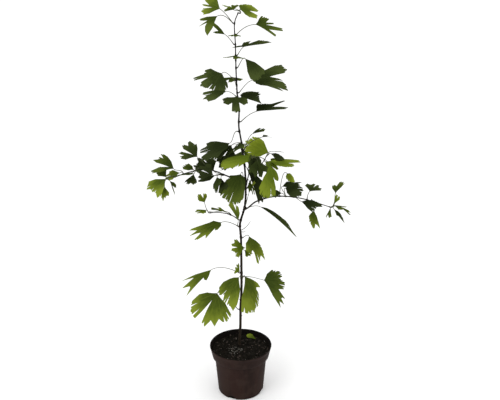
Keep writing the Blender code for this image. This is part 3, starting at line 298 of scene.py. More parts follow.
# for each spray: its limb, its place on it, its heading, and a row for each leaf
SPRAY_ROWS = {
    "leader": ("stem", 1.118, 0, (
        (180, 62, 9, 198, 19, 15, 42, "narrow", "fresh"),
        (0, 60, 9, 12, 0, -28, 55, "leader", "olive"))),
    "top_left": ("stem", 1.091, 190, (
        (165, 43, 54, 172, 36, 58, 53, "top_left", "olive"),
        (218, 17, 57, 205, -24, 22, 56, "top_left_low", "mid"))),
    "top_right": ("stem", 1.062, 320, (
        (340, 24, 63, 355, -1, -30, 72, "top_right", "mid"),
        (270, 4, 13, 269, -9, 0, 24, "fan", "mid"))),
    "upper_back_left": ("stem", 1.038, 142, (
        (145, 37, 43, 160, 32, 25, 55, "upper_back_left", "mid"),)),
    "upper_back_right": ("stem", 1.010, 40, (
        (36, 40, 34, 45, 21, 0, 70, "upper_back_right", "deep"),)),
    "upper_front": ("stem", 0.998, 268, (
        (262, 42, 18, 262, -8, 0, 41, "fan", "mid"),)),
    "crown_front_right": ("stem", 0.978, 317, (
        (315, 34, 43, 324, -43, -8, 66, "crown_front_right", "deep"),)),
    "crown_left": ("stem", 0.945, 150, (
        (153, 22, 48, 180, -50, 62, 68, "crown_left", "deep"),)),
    "crown_rear": ("stem", 0.932, 108, (
        (108, 24, 48, 112, -12, 0, 62, "fan", "mid"),)),
    "crown_right": ("stem", 0.912, 26, (
        (24, 35, 58, 0, 12, -24, 92, "crown_right", "deep"),)),
    "crown_front": ("stem", 0.901, 240, (
        (212, 25, 38, 200, -2, 15, 65, "crown_front", "deep"),
        (260, 6, 26, 265, -65, 0, 42, "crown_middle", "deep"))),
    "crown_back": ("stem", 0.892, 50, (
        (57, 24, 16, 20, 18, -8, 58, "crown_back", "dark"),)),
    "crown_low_right": ("stem", 0.834, 347, (
        (348, 31, 56, 353, 18, -10, 88, "crown_low_right", "dark"),)),
    "mid_left": ("stem", 0.808, 217, (
        (217, -42, 45, 200, -14, 5, 88, "mid_left", "dark"),)),
    "mid_front": ("stem", 0.775, 255, (
        (250, 2, 12, 240, -22, -25, 50, "fan", "deep"),
        (205, -40, 46, 214, -52, 20, 50, "split", "dark"))),
    "mid_back": ("stem", 0.755, 50, (
        (49, 45, 57, 33, 27, 0, 40, "wedge", "deep"),
        (46, 19, 84, 41, 5, -5, 30, "wedge", "deep"))),
    "hanging_back": ("stem", 0.714, 100, (
        (82, -24, 46, 346, -61, -34, 108, "hanging_back", "dark"),
        (125, -10, 38, 143, -15, 12, 58, "fan", "dark"))),
    "hanging_front": ("stem", 0.664, 250, (
        (258, 30, 72, 222, -57, -5, 90, "hanging_front", "mid"),)),
    "node_front": ("stem", 0.602, 290, (
        (40, 62, 28, 340, 75, 40, 42, "narrow", "olive"),)),
    "node_back": ("stem", 0.582, 30, (
        (22, 3, 50, 15, -28, -5, 128, "node_back", "deep"),)),
    "low_left": ("stem", 0.531, 225, (
        (199, 17, 59, 207, -14, -8, 105, "low_left", "olive"),
        (258, 45, 33, 245, 78, 35, 60, "wedge", "olive"))),
    "low_right": ("stem", 0.496, 319, (
        (314, 19, 36, 308, -48, 32, 83, "low_right", "olive"),)),
    "low_small": ("stem", 0.459, 280, (
        (289, 27, 31, 200, 8, 48, 40, "fan", "fresh"),
        (330, -10, 11, 345, -25, -20, 27, "fan", "fresh"))),
    "foot_left": ("stem", 0.383, 200, (
        (198, 13, 95, 206, -21, 5, 110, "foot_left", "olive"),
        (253, 33, 22, 234, 55, 80, 26, "fan", "fresh"))),
    "foot_front": ("stem", 0.371, 290, (
        (256, 18, 31, 226, -32, 5, 96, "foot_front_left", "olive"),
        (337, 0, 72, 345, -10, -24, 78, "foot_right", "mid"))),
    "foot_back": ("stem", 0.366, 50, (
        (66, -10, 24, 342, -55, 7, 112, "foot_back", "olive"),)),
    "lowest": ("stem", 0.261, 182, (
        (182, 38, 89, 218, -50, 22, 100, "lowest", "olive"),)),
    "left_bough_foot": ("left_bough", 0.28, 170, (
        (148, -10, 28, 168, -26, 30, 54, "left_foot_outer", "dark"),
        (215, -10, 22, 254, -66, -48, 43, "left_foot_low", "deep"),
        (133, 4, 44, 150, 44, 10, 62, "fan", "dark"),
        (217, 5, 35, 189, 26, -53, 50, "split", "dark"))),
    "left_bough_middle": ("left_bough", 0.50, 150, (
        (143, 42, 49, 165, 46, 28, 56, "left_bough_middle", "deep"),)),
    "left_bough_bend": ("left_bough", 0.60, 200, (
        (132, -8, 26, 158, 23, -8, 40, "bend_upper", "mid"),
        (215, -25, 20, 235, -47, 0, 40, "bend_lower", "deep"),
        (230, -4, 28, 226, 0, -10, 60, "fan", "deep"))),
    "left_bough_outer": ("left_bough", 0.81, 155, (
        (152, 20, 34, 164, 50, 8, 65, "left_bough_outer", "mid"),)),
    "left_bough_end": ("left_bough", 0.92, 230, (
        (191, 0, 24, 171, 53, 10, 36, "fan", "mid"),)),
    "left_bough_tip": ("left_bough", 1.0, 190, (
        (226, 10, 12, 222, -20, -3, 64, "left_end", "olive"),
        (202, -56, 24, 276, -51, -62, 40, "left_end_low", "olive"),
        (92, -34, 14, 34, -58, -40, 40, "left_end_right", "mid"))),
    "right_bough_foot": ("right_bough", 0.42, 55, (
        (55, 57, 71, 5, -51, -25, 42, "right_bough_foot", "bright"),)),
    "right_bough_front": ("right_bough", 0.49, 262, (
        (258, 70, 28, 333, 10, -14, 60, "right_bough_front", "dark"),)),
    "right_bough_middle": ("right_bough", 0.58, 300, (
        (307, -10, 33, 318, -8, -5, 68, "right_bough_middle", "dark"),)),
    "right_bough_upper": ("right_bough", 0.73, 30, (
        (35, 68, 25, 50, 28, -10, 37, "fan", "deep"),)),
    "right_bough_outer": ("right_bough", 0.78, 60, (
        (60, -57, 40, 271, -75, -68, 55, "right_bough_outer", "olive"),)),
    "right_bough_tip": ("right_bough", 1.0, 350, (
        (38, 63, 42, 54, 57, 17, 38, "tip_upper", "mid"),
        (320, 42, 18, 351, 74, -29, 28, "wedge", "fresh"),
        (15, 25, 11, 326, 3, 0, 39, "wedge", "mid"),
        (23, -2, 29, 4, -27, -15, 44, "narrow", "mid"),
        (265, 14, 19, 240, -41, -27, 35, "narrow", "mid"),
        (28, -30, 16, 346, -53, -9, 52, "tip_lower", "deep"))),
    "lower_left_bough_foot": ("lower_left_bough", 0.34, 130, (
        (135, 14, 26, 139, 5, -13, 46, "wedge", "mid"),)),
    "lower_left_bough_tip": ("lower_left_bough", 1.0, 185, (
        (160, 60, 34, 113, 58, -26, 32, "lower_left_bough_tip", "bright"),
        (236, 38, 20, 214, 0, -4, 36, "fan", "fresh"))),
    "front_bough_tip": ("front_bough", 1.0, 250, (
        (346, -12, 51, 293, -66, 43, 88, "front_bright", "fresh"),
        (55, 28, 18, 44, -77, -62, 57, "front_inner", "dark"),
        (252, 72, 17, 202, -5, 0, 101, "front_band", "fresh"))),
    "back_bough_middle": ("back_bough", 0.55, 20, (
        (11, 34, 51, 7, -2, 0, 88, "back_bough_middle", "fresh"),)),
    "rear_bough_tip": ("rear_bough", 1.0, 92, (
        (140, -20, 24, 152, -18, 0, 50, "fan", "mid"),
        (85, 5, 28, 98, -6, 0, 66, "fan", "deep"),
        (70, -35, 26, 84, -50, 0, 62, "split", "mid"))),
    "back_bough_tip": ("back_bough", 1.0, 60, (
        (54, 38, 28, 146, 32, 14, 88, "back_bright", "bright"),
        (50, 26, 33, 26, -8, -20, 51, "back_right", "dark"),
        (56, 30, 39, 58, -7, 5, 50, "wedge", "dark"))),
}
print("rows of leaves:", sum(len(rows) for *_, rows in SPRAY_ROWS.values()))

# %% [markdown]
# ### Young leaves
#
# Small leaves open from the same spurs, half hidden by the large ones. Dice could deal
# them out, but then one might cover a leaf that should show. So each has a row, as the
# others do. They have no solids, since the leaves round them already fill their space.

# %% Add the young leaves
YOUNG_ROWS = {
    "leader": (
        (165, 30, 14, 120, 28, 25, 30, "fan", "mid"),),
    "mid_front": (
        (200, -10, 30, 215, -45, 35, 56, "split", "dark"),),
    "hanging_front": (
        (340, 25, 12, 320, -60, 30, 46, "split", "mid"),),
    "left_bough_foot": (
        (235, -30, 14, 240, -62, -20, 48, "split", "dark"),),
    "left_bough_outer": (
        (150, 10, 12, 185, -12, 12, 46, "fan", "olive"),),
    "right_bough_front": (
        (170, 70, 30, 12, 14, -6, 52, "fan", "dark"),
        (200, 40, 16, 176, 8, 14, 34, "fan", "deep")),
    "front_bough_tip": (
        (10, 5, 16, 290, -72, 20, 52, "split", "deep"),),
    "back_bough_middle": (
        (0, 50, 42, 350, -32, -30, 46, "fan", "fresh"),),
    "lower_left_bough_foot": (
        (150, 20, 12, 165, 22, 8, 36, "narrow", "fresh"),),
    "lower_left_bough_tip": (
        (350, 20, 10, 10, 12, 0, 30, "narrow", "mid"),),
}
SPRAYS = {}
for name, (limb, place, heading, rows) in SPRAY_ROWS.items():
    leaves = [Leaf(*row) for row in rows + YOUNG_ROWS.get(name, ())]
    SPRAYS[name + "_spray"] = Spray(limb, place, heading, leaves)
print("sprays:", len(SPRAYS), "leaves:", sum(len(spray.leaves) for spray in SPRAYS.values()))

# %% [markdown]
# ## Small tools for curves and directions
#
# Limbs and stalks are smooth lines, so a few short functions turn headings into
# vectors, draw a smooth curve through knots, and find a spot on a limb. They are the
# same for the stem and for the thinnest bough.

# %% Directions and smooth lines
Limb = namedtuple("Limb", "points radii")
SOURCE_STEPS = 3


def direction(heading, rise):
    """The unit vector of a compass heading and a rise, both in degrees."""
    turn, lift = math.radians(heading), math.radians(rise)
    level = math.cos(lift)
    return Vector((level * math.cos(turn), level * math.sin(turn), math.sin(lift)))


def smooth(points, steps):
    """A smooth curve through the points, with so many steps to each stretch."""
    ends = [points[0] * 2 - points[1], *points, points[-1] * 2 - points[-2]]
    curve = []
    for before, start, end, after in zip(ends, ends[1:], ends[2:], ends[3:]):
        for step in range(steps):
            t = step / steps
            curve.append(0.5 * (
                2 * start + (end - before) * t
                + (2 * before - 5 * start + 4 * end - after) * t ** 2
                + (3 * start - before - 3 * end + after) * t ** 3))
    return curve + [points[-1]]


def spread(values, steps):
    """Values between the given ones, to match a line that smooth() has refined."""
    made = []
    for start, end in zip(values, values[1:]):
        made += [start + (end - start) * step / steps for step in range(steps)]
    return made + [values[-1]]


def stem_limb():
    """The stem's middle line and radii, from its flat cut to its tip."""
    knots = [Vector((right * MM, back * MM, height)) for height, right, back in STEM_SWAY]
    foot = Vector((knots[0].x, knots[0].y, SOIL_TOP + CLEAR))
    points = [foot] + smooth(knots, SOURCE_STEPS)
    radii = []
    for point in points:
        share = (point.z - foot.z) / (points[-1].z - foot.z)
        taper = STEM_FOOT_RADIUS + share ** STEM_TAPER * (STEM_TIP_RADIUS - STEM_FOOT_RADIUS)
        radii.append(taper + ROOT_FLARE * math.exp(-(point.z - foot.z) / FLARE_HEIGHT))
    return Limb(points, radii)


def limb_at(limb, place):
    """The point, direction and radius at a share of a limb's length."""
    lengths = [0.0]
    for start, end in zip(limb.points, limb.points[1:]):
        lengths.append(lengths[-1] + (end - start).length)
    target = place * lengths[-1]
    index = 0
    while target > lengths[index + 1] and index < len(lengths) - 2:
        index += 1
    share = (target - lengths[index]) / (lengths[index + 1] - lengths[index])
    start, end = limb.points[index], limb.points[index + 1]
    radius = limb.radii[index] + share * (limb.radii[index + 1] - limb.radii[index])
    return start.lerp(end, share), (end - start).normalized(), radius


def stem_share(stem, height):
    """The share of the stem's length at a height."""
    legs = list(zip(stem.points, stem.points[1:]))
    whole = sum((end - start).length for start, end in legs)
    run = 0.0
    for start, end in legs:
        length = (end - start).length
        if end.z >= height:
            return (run + length * (height - start.z) / (end.z - start.z)) / whole
        run += length
    return 1.0


def place_on(limb_name, limb, place):
    """A share of the limb's length. A place on the stem is given as a height."""
    return stem_share(limb, place) if limb_name == "stem" else place


def off_limb(limb, place, heading):
    """Where a side shoot starts: just clear of its limb's bark, square to it."""
    centre, along, radius = limb_at(limb, place)
    if place >= 1.0:
        return centre + along * CLEAR, along
    outward = direction(heading, 0)
    outward = (outward - along * outward.dot(along)).normalized()
    return centre + outward * (radius + CLEAR), outward


def bough_limb(stem, bough):
    """A bough's middle line and radii, from just clear of the stem to its tip."""
    start, outward = off_limb(stem, stem_share(stem, bough.height), bough.legs[0].heading)
    knots = [start]
    for leg in bough.legs:
        knots.append(knots[-1] + direction(leg.heading, leg.rise) * leg.length)
    points = smooth(knots, SOURCE_STEPS)
    points[1] = start + outward * (points[1] - start).length * 0.4
    shares = [index / (len(points) - 1) for index in range(len(points))]
    thinning = bough.tip_radius - bough.foot_radius
    return Limb(points, [bough.foot_radius + share * thinning for share in shares])


stem = stem_limb()
limbs = {"stem": stem}
for name, bough in BOUGHS.items():
    limbs[name] = bough_limb(stem, bough)
print("stem top at", round(stem.points[-1].z, 3), "boughs:", len(BOUGHS))

# %% [markdown]
# ## Tools for shader nodes
#
# A procedural material is a small tree of nodes. Short helpers keep each one readable.
# They add a node and fill its sockets, mix two colours, do a sum, stretch a value, or
# start a node group, which is a pattern that several materials share. The last ones
# make a material from such a pattern and put it on a piece.

# %% Shader helpers
COLOUR_MIX = (0, 6, 7)     # a Mix node's sockets for the share and for two colours
COLOUR_MIXED = 2
VALUE_MIX = (0, 2, 3)      # the same for two values
VALUE_MIXED = 0


def feed(tree, socket, value):
    """Links a socket's value if it comes from a node, or sets it if it is plain."""
    if isinstance(value, bpy.types.NodeSocket):
        tree.links.new(value, socket)
    else:
        socket.default_value = value


def put(tree, kind, options=None, **inputs):
    """Adds a node, sets its options, and feeds its inputs by name."""
    made = tree.nodes.new(kind)
    for name, value in (options or {}).items():
        setattr(made, name, value)
    for name, value in inputs.items():
        feed(tree, made.inputs[name.replace("_", " ")], value)
    return made


def mixed(tree, share, first, second, way="MIX"):
    """Two colours mixed by a share from 0 to 1."""
    made = put(tree, "ShaderNodeMix", {"data_type": "RGBA", "blend_type": way})
    for place, value in zip(COLOUR_MIX, (share, first, second)):
        feed(tree, made.inputs[place], value)
    return made.outputs[COLOUR_MIXED]


def sum_of(tree, operation, first, second=0.0):
    """The result of one sum, such as ADD or MULTIPLY."""
    made = put(tree, "ShaderNodeMath", {"operation": operation})
    feed(tree, made.inputs[0], first)
    feed(tree, made.inputs[1], second)
    return made.outputs[0]


def ranged(tree, value, low, high, new_low=0.0, new_high=1.0):
    """A value stretched smoothly from one range to another, and held inside it."""
    made = put(tree, "ShaderNodeMapRange", {"interpolation_type": "SMOOTHSTEP"})
    for place, given in enumerate((value, low, high, new_low, new_high)):
        feed(tree, made.inputs[place], given)
    return made.outputs[0]


SOCKETS = {"colour": "NodeSocketColor", "value": "NodeSocketFloat"}


def new_group(name, inputs, outputs):
    """An empty node group with named inputs and outputs, and its two end nodes."""
    tree = bpy.data.node_groups.new(name, "ShaderNodeTree")
    for label, kind in inputs.items():
        tree.interface.new_socket(label, in_out="INPUT", socket_type=SOCKETS[kind])
    for label, kind in outputs.items():
        tree.interface.new_socket(label, in_out="OUTPUT", socket_type=SOCKETS[kind])
    return tree, tree.nodes.new("NodeGroupInput"), tree.nodes.new("NodeGroupOutput")


def use_group(material, group, **inputs):
    """Places a node group in a material and feeds its inputs by name."""
    made = put(material.node_tree, "ShaderNodeGroup", {"node_tree": group})
    for name, value in inputs.items():
        feed(material.node_tree, made.inputs[name.replace("_", " ")], value)
    return made


def new_material(name, colour, roughness, specular=0.5):
    """A material whose Principled shader has a plain colour, roughness and gloss."""
    made = bpy.data.materials.new(name)
    made.use_nodes = True
    shader = made.node_tree.nodes["Principled BSDF"]
    shader.inputs["Base Color"].default_value = (*colour, 1.0)
    shader.inputs["Roughness"].default_value = roughness
    shader.inputs["Specular IOR Level"].default_value = specular
    made.diffuse_color = (*colour, 1.0)
    return made, shader


def add_bump(material, shader, height, strength, distance):
    """Feeds a height through a Bump node to the shader's normal."""
    bump = put(material.node_tree, "ShaderNodeBump", Strength=strength, Distance=distance)
    feed(material.node_tree, bump.inputs["Height"], height)
    feed(material.node_tree, shader.inputs["Normal"], bump.outputs["Normal"])


def patterned(name, colour, roughness, pattern, specular=0.5, bump=None, **inputs):
    """A material coloured by a shared pattern, whose height is its bump if asked."""
    made, shader = new_material(name, colour, roughness, specular)
    laid = use_group(made, pattern, **inputs)
    feed(made.node_tree, shader.inputs["Base Color"], laid.outputs["Color"])
    if bump:
        add_bump(made, shader, laid.outputs["Height"], *bump)
    return made


def wear(piece, material):
    """Gives a piece one material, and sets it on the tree's body."""
    piece.data.materials.clear()
    piece.data.materials.append(material)
    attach(piece, "root")

# %% [markdown]
# ## Two shared patterns
#
# Real surfaces are never one even colour. "Mottle" scatters soft patches of a second
# colour, and "Streaks" draws them out upwards, as flow marks on moulded plastic or the
# grain of bark. So one rule makes both. They read Object coordinates, so that they sit
# still on the piece and have a real scale in metres.

# %% Mottle and streaks


def make_pattern(name, stretch, detail, roughness, low, high):
    """Soft patches of a second colour. Scale is in patches to a metre."""
    tree, given, made = new_group(
        name,
        {"Base Color": "colour", "Second Color": "colour", "Scale": "value", "Amount": "value"},
        {"Color": "colour", "Height": "value"})
    place = put(tree, "ShaderNodeTexCoord").outputs["Object"]
    drawn_out = put(tree, "ShaderNodeMapping", Vector=place, Scale=stretch)
    cloud = put(tree, "ShaderNodeTexNoise", Vector=drawn_out.outputs["Vector"],
                Scale=given.outputs["Scale"], Detail=detail, Roughness=roughness)
    share = ranged(tree, cloud.outputs["Fac"], low, high)
    share = sum_of(tree, "MULTIPLY", share, given.outputs["Amount"])
    colour = mixed(tree, share, given.outputs["Base Color"], given.outputs["Second Color"])
    feed(tree, made.inputs["Color"], colour)
    feed(tree, made.inputs["Height"], cloud.outputs["Fac"])
    return tree


mottle = make_pattern("Mottle", (1.0, 1.0, 1.0), 4.0, 0.6, 0.42, 0.62)
streaks = make_pattern("Streaks", (1.0, 1.0, 0.09), 5.0, 0.62, 0.40, 0.64)
print("shared patterns:", mottle.name, "and", streaks.name)

# %% [markdown]
# ## The pot
#
# The real pot is thin moulded plastic, with a wide band round its rim and four notches
# in its foot for water to run out. It could be a lathe profile with a Screw modifier.
# Here one circle is drawn up ring by ring with Extrude and Resize: up the outside, over
# the lip and down the inside. That keeps every ring where it is wanted, and leaves one
# closed skin. A Boolean cuts the notches, and a Bevel takes off the hard edges.

# %% Draw a skin ring by ring


def drawn(name, profile, sides):
    """A closed skin drawn from ring to ring through each (radius, height)."""
    radius, height = profile[0]
    bpy.ops.mesh.primitive_circle_add(
        vertices=sides, radius=radius, fill_type="NGON", location=(0, 0, height))
    bpy.ops.object.mode_set(mode="EDIT")
    for next_radius, next_height in profile[1:]:
        rise = {"value": (0, 0, next_height - height)}
        bpy.ops.mesh.extrude_region_move(TRANSFORM_OT_translate=rise)
        size = next_radius / radius
        bpy.ops.transform.resize(value=(size, size, 1), center_override=(0, 0, next_height))
        radius, height = next_radius, next_height
    bpy.ops.mesh.select_all(action="SELECT")
    bpy.ops.mesh.normals_make_consistent(inside=False)
    bpy.ops.object.mode_set(mode="OBJECT")
    bpy.ops.object.transform_apply(location=True, rotation=True, scale=True)
    piece = bpy.context.active_object
    piece.name = piece.data.name = name
    return piece


ROUNDED = 60               # degrees: what is round stays smooth up to here


def pick(piece):
    """Selects one piece alone and makes it the active one."""
    bpy.ops.object.select_all(action="DESELECT")
    piece.select_set(True)
    bpy.context.view_layer.objects.active = piece


def apply_all(piece):
    """Applies the piece's modifiers, in their order."""
    pick(piece)
    for modifier in list(piece.modifiers):
        bpy.ops.object.modifier_apply(modifier=modifier.name)


def shade(piece, angle):
    """Smooth shading that keeps edges sharper than the angle, in degrees."""
    pick(piece)
    bpy.ops.object.shade_smooth_by_angle(angle=math.radians(angle))

# %% Draw the pot
POT_SIDES = 128
LIP = 2 * MM
MOULDED = 30               # degrees: the pot's steps stay sharp


def outer_radius(height):
    """The pot's outer radius at a height."""
    if height < POT_WALL_TOP:
        share = height / POT_WALL_TOP
        return POT_FOOT_RADIUS + share * (POT_WALL_TOP_RADIUS - POT_FOOT_RADIUS)
    share = (height - POT_WALL_TOP) / (POT_HEIGHT - POT_WALL_TOP)
    return POT_BAND_FOOT_RADIUS + share * (POT_RIM_RADIUS - POT_BAND_FOOT_RADIUS)


BEAD = POT_HEIGHT - 5 * MM   # the foot of the bead round the rim
wall_heights = [2 * MM] + [POT_WALL_TOP * step / 6 for step in range(1, 6)]
band_heights = [POT_WALL_TOP + 1 * MM, POT_WALL_TOP + 12 * MM, POT_WALL_TOP + 24 * MM]
pot_profile = [
    # the foot, which stands on a ring a millimetre deep
    (POT_FOOT_RADIUS - 12 * MM, 1.0 * MM),
    (POT_FOOT_RADIUS - 10 * MM, 0.0),
    (POT_FOOT_RADIUS - 1.5 * MM, 0.0),
    # the wall, and the step out to the band
    *[(outer_radius(height), height) for height in wall_heights],
    (POT_WALL_TOP_RADIUS - 0.2 * MM, POT_WALL_TOP - 1 * MM),
    (POT_WALL_TOP_RADIUS + 1.2 * MM, POT_WALL_TOP),
    (POT_BAND_FOOT_RADIUS - 0.6 * MM, POT_WALL_TOP),
    # the band, its bead and the round lip
    *[(outer_radius(height), height) for height in band_heights],
    (outer_radius(BEAD), BEAD),
    (outer_radius(POT_HEIGHT - 4.2 * MM) + 0.5 * MM, POT_HEIGHT - 4.2 * MM),
    (POT_RIM_RADIUS, POT_HEIGHT - LIP),
    (POT_RIM_RADIUS - 0.5 * MM, POT_HEIGHT - 0.4 * MM),
    (POT_RIM_RADIUS - 1.2 * MM, POT_HEIGHT),
    (POT_RIM_RADIUS - 2.2 * MM, POT_HEIGHT - 0.3 * MM),
    # the inside, down to the floor
    (outer_radius(BEAD) - POT_WALL, BEAD),
    (POT_BAND_FOOT_RADIUS - POT_WALL, POT_WALL_TOP + POT_WALL),
    (POT_WALL_TOP_RADIUS - POT_WALL, POT_WALL_TOP + POT_WALL),
    (POT_FOOT_RADIUS - POT_WALL, POT_WALL),
]
pot = drawn("nursery_pot", pot_profile, POT_SIDES)
print("pot faces:", len(pot.data.polygons))

# %% Cut the drainage notches
NOTCH_WIDTH = 24 * MM
NOTCH_HEIGHT = 11 * MM
NOTCH_DEPTH = 9 * MM
NOTCH_HEADINGS = (68, 158, 248, 338)
NOTCH_SIDES = 32
SOFT_EDGE = 0.35 * MM
SHARP = 38                 # degrees: a sharper edge than this is softened

bpy.ops.object.select_all(action="DESELECT")
notches = []
for heading in NOTCH_HEADINGS:
    bpy.ops.mesh.primitive_cylinder_add(
        vertices=NOTCH_SIDES, radius=NOTCH_WIDTH / 2, depth=2 * NOTCH_DEPTH,
        location=direction(heading, 0) * POT_FOOT_RADIUS,
        rotation=(0, math.radians(90), math.radians(heading)),
        scale=(NOTCH_HEIGHT / (NOTCH_WIDTH / 2), 1, 1))
    notches.append(bpy.context.active_object)
for notch in notches:
    notch.select_set(True)
bpy.ops.object.join()
cutter = bpy.context.active_object
cut = pot.modifiers.new("Notches", "BOOLEAN")
cut.operation = "DIFFERENCE"
cut.object = cutter
edges = pot.modifiers.new("Soft edges", "BEVEL")
edges.width = SOFT_EDGE
edges.segments = 2
edges.limit_method = "ANGLE"
edges.angle_limit = math.radians(SHARP)
apply_all(pot)
bpy.data.objects.remove(cutter)
shade(pot, MOULDED)
print("pot faces with notches:", len(pot.data.polygons))

# %% [markdown]
# ### Its plastic
#
# Recycled nursery plastic is dark red-brown, dull, and a little cloudy, with faint
# upright flow marks, and water has left a pale bloom. Two shared patterns in a row give
# that: streaks first, then mottle over them, and the streaks' height makes a shallow
# bump. The inside of the rim is darkened with painted shade, for the shadow that falls
# into the pot above the compost. Painting it would need a second
# material, so a mask finds it instead: it is what lies inwards of the wall's middle.

# %% The pot's material
PLASTIC = (0.0235, 0.0124, 0.0102, 1)
FLOW_MARK = (0.013, 0.0084, 0.0072, 1)
WATER_BLOOM = (0.034, 0.022, 0.018, 1)
plastic, plastic_shader = new_material("pot_plastic", (0.0215, 0.0126, 0.0106), 0.52, 0.03)
flow = use_group(plastic, streaks, Base_Color=PLASTIC, Second_Color=FLOW_MARK,
                 Scale=34.0, Amount=0.7)
bloom = use_group(plastic, mottle, Base_Color=flow.outputs["Color"], Second_Color=WATER_BLOOM,
                  Scale=26.0, Amount=0.45)
dullness = ranged(plastic.node_tree, bloom.outputs["Height"], 0.3, 0.7, 0.46, 0.66)
feed(plastic.node_tree, plastic_shader.inputs["Roughness"], dullness)
add_bump(plastic, plastic_shader, flow.outputs["Height"], 0.25, 0.4 * MM)

# %% Painted shade on the inside of the rim
# painted shade: a near-black colour that darkens the inside of the rim, for the shadow in the pot
RIM_PAINTED_SHADE = (0.0055, 0.0052, 0.0048, 1)
RIM_SHADE_SHARE = 0.85
RIM_SHADE_EDGE = 0.4 * MM
tree = plastic.node_tree
spot = put(tree, "ShaderNodeTexCoord").outputs["Object"]
parts = put(tree, "ShaderNodeSeparateXYZ", Vector=spot).outputs
squares = [sum_of(tree, "MULTIPLY", parts[axis], parts[axis]) for axis in "XY"]
reach = sum_of(tree, "POWER", sum_of(tree, "ADD", *squares), 0.5)
flare = (POT_RIM_RADIUS - POT_BAND_FOOT_RADIUS) / (POT_HEIGHT - POT_WALL_TOP)
mid_wall = POT_BAND_FOOT_RADIUS - POT_WALL / 2 - flare * POT_WALL_TOP
upright = sum_of(tree, "SUBTRACT", reach, sum_of(tree, "MULTIPLY", parts["Z"], flare))
outward = sum_of(tree, "SUBTRACT", upright, mid_wall)
inner = ranged(tree, outward, -RIM_SHADE_EDGE, RIM_SHADE_EDGE, RIM_SHADE_SHARE, 0.0)
banded = ranged(tree, parts["Z"], POT_WALL_TOP + 2 * MM, POT_WALL_TOP + 3 * MM)
inside = sum_of(tree, "MULTIPLY", inner, banded)
# the painted shade is mixed over the plastic's own colour on the inside of the rim
rim_painted_shade = mixed(tree, inside, bloom.outputs["Color"], RIM_PAINTED_SHADE)
feed(tree, plastic_shader.inputs["Base Color"], rim_painted_shade)
wear(pot, plastic)
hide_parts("pot")
print("the wall leans out by", round(flare, 3))

# %% [markdown]
# ## The compost
#
# The pot is filled with peaty compost: nearly black, crumbly, with bits of bark,
# fibres, and pale grains of grit. A flat disc with a bump would look painted. So the
# top is a fine net of rings whose points move up and down by noise, and real crumbs,
# fibres and grains lie on it.

# %% The level of the compost
HUMPS = ((24.0, 2.2 * MM), (95.0, 1.3 * MM), (330.0, 0.7 * MM))   # to a metre, height
SOIL_SINK = 1.5 * MM
SOIL_DISH = 2.0 * MM


def soil_inner_radius(height):
    """How far out the compost reaches at a height, just short of the pot's wall."""
    return outer_radius(height) - POT_WALL - CLEAR


def soil_level(x, y):
    """The height of the compost's surface at a spot."""
    from_middle = math.hypot(x, y) / soil_inner_radius(SOIL_TOP)
    level = SOIL_TOP - SOIL_SINK - SOIL_DISH * from_middle ** 4
    for scale, height in HUMPS:
        level += height * noise.noise(Vector((x * scale, y * scale, scale)))
    return level


# %% Draw the compost
SOIL_RINGS = 52
SOIL_SIDES = 144
soil_edge = soil_inner_radius(SOIL_TOP - 2 * MM)
ledge = POT_WALL_TOP + POT_WALL + CLEAR
soil_profile = [
    (POT_FOOT_RADIUS - POT_WALL - CLEAR, POT_WALL + CLEAR),
    (POT_WALL_TOP_RADIUS - POT_WALL - CLEAR, ledge),
    (POT_BAND_FOOT_RADIUS - POT_WALL - CLEAR, ledge),
]
soil_profile += [(soil_edge * (1 - step / SOIL_RINGS), SOIL_TOP) for step in range(SOIL_RINGS)]
compost = drawn("compost", soil_profile, SOIL_SIDES)
for spot in compost.data.vertices:
    if spot.co.z > SOIL_TOP - 0.5 * MM:
        spot.co.z = soil_level(spot.co.x, spot.co.y)
compost.data.update()
shade(compost, ROUNDED)
print("compost faces:", len(compost.data.polygons))

# %% [markdown]
# ### Many small copies
#
# A crumb, a grain or a bud is modelled once. Every copy is then written straight into
# one joined mesh, at its own place, turn and size, because hundreds of objects would
# be slow and hard to handle.

# %% Copies joined into one mesh


def template(piece):
    """The points and faces of a piece that is modelled once, which is then removed."""
    points = [spot.co.copy() for spot in piece.data.vertices]
    faces = [tuple(face.vertices) for face in piece.data.polygons]
    bpy.data.objects.remove(piece)
    return points, faces


def new_piece(name, points, faces):
    """A mesh object from points and faces."""
    mesh = bpy.data.meshes.new(name)
    mesh.from_pydata(points, [], faces)
    piece = bpy.data.objects.new(name, mesh)
    bpy.context.scene.collection.objects.link(piece)
    return piece


def copies(name, shape, matrices):
    """One mesh with a copy of a shape at each matrix."""
    points, faces = [], []
    for matrix in matrices:
        first = len(points)
        points += [matrix @ point for point in shape[0]]
        faces += [tuple(first + index for index in face) for face in shape[1]]
    return new_piece(name, points, faces)


def placed(spot, turn, size):
    """The matrix of a place, an Euler turn and a size along each axis."""
    return Matrix.LocRotScale(Vector(spot), Euler(turn), Vector(size))

# %% Tools that strew the litter
TIP = 0.4                  # radians that a piece may tip to a side
dice = random.Random("compost")


def soil_spot(middle=(0.0, 0.0), reach=None):
    """A random spot on the compost, near a middle, in metres."""
    limit = soil_edge - 2.5 * MM
    while True:
        away = (reach or limit) * math.sqrt(dice.random())
        turn = dice.uniform(0, math.tau)
        x, y = middle[0] + away * math.cos(turn), middle[1] + away * math.sin(turn)
        if math.hypot(x, y) < limit:
            return x, y


def chip(name, faces_level, roughness, seed):
    """A rough lump of about unit size."""
    bpy.ops.mesh.primitive_ico_sphere_add(subdivisions=faces_level, radius=1.0)
    piece = bpy.context.active_object
    for spot in piece.data.vertices:
        spot.co *= 1.0 + roughness * noise.noise(spot.co * 1.7 + Vector((seed, 0, 0)))
    piece.name = name
    return template(piece)


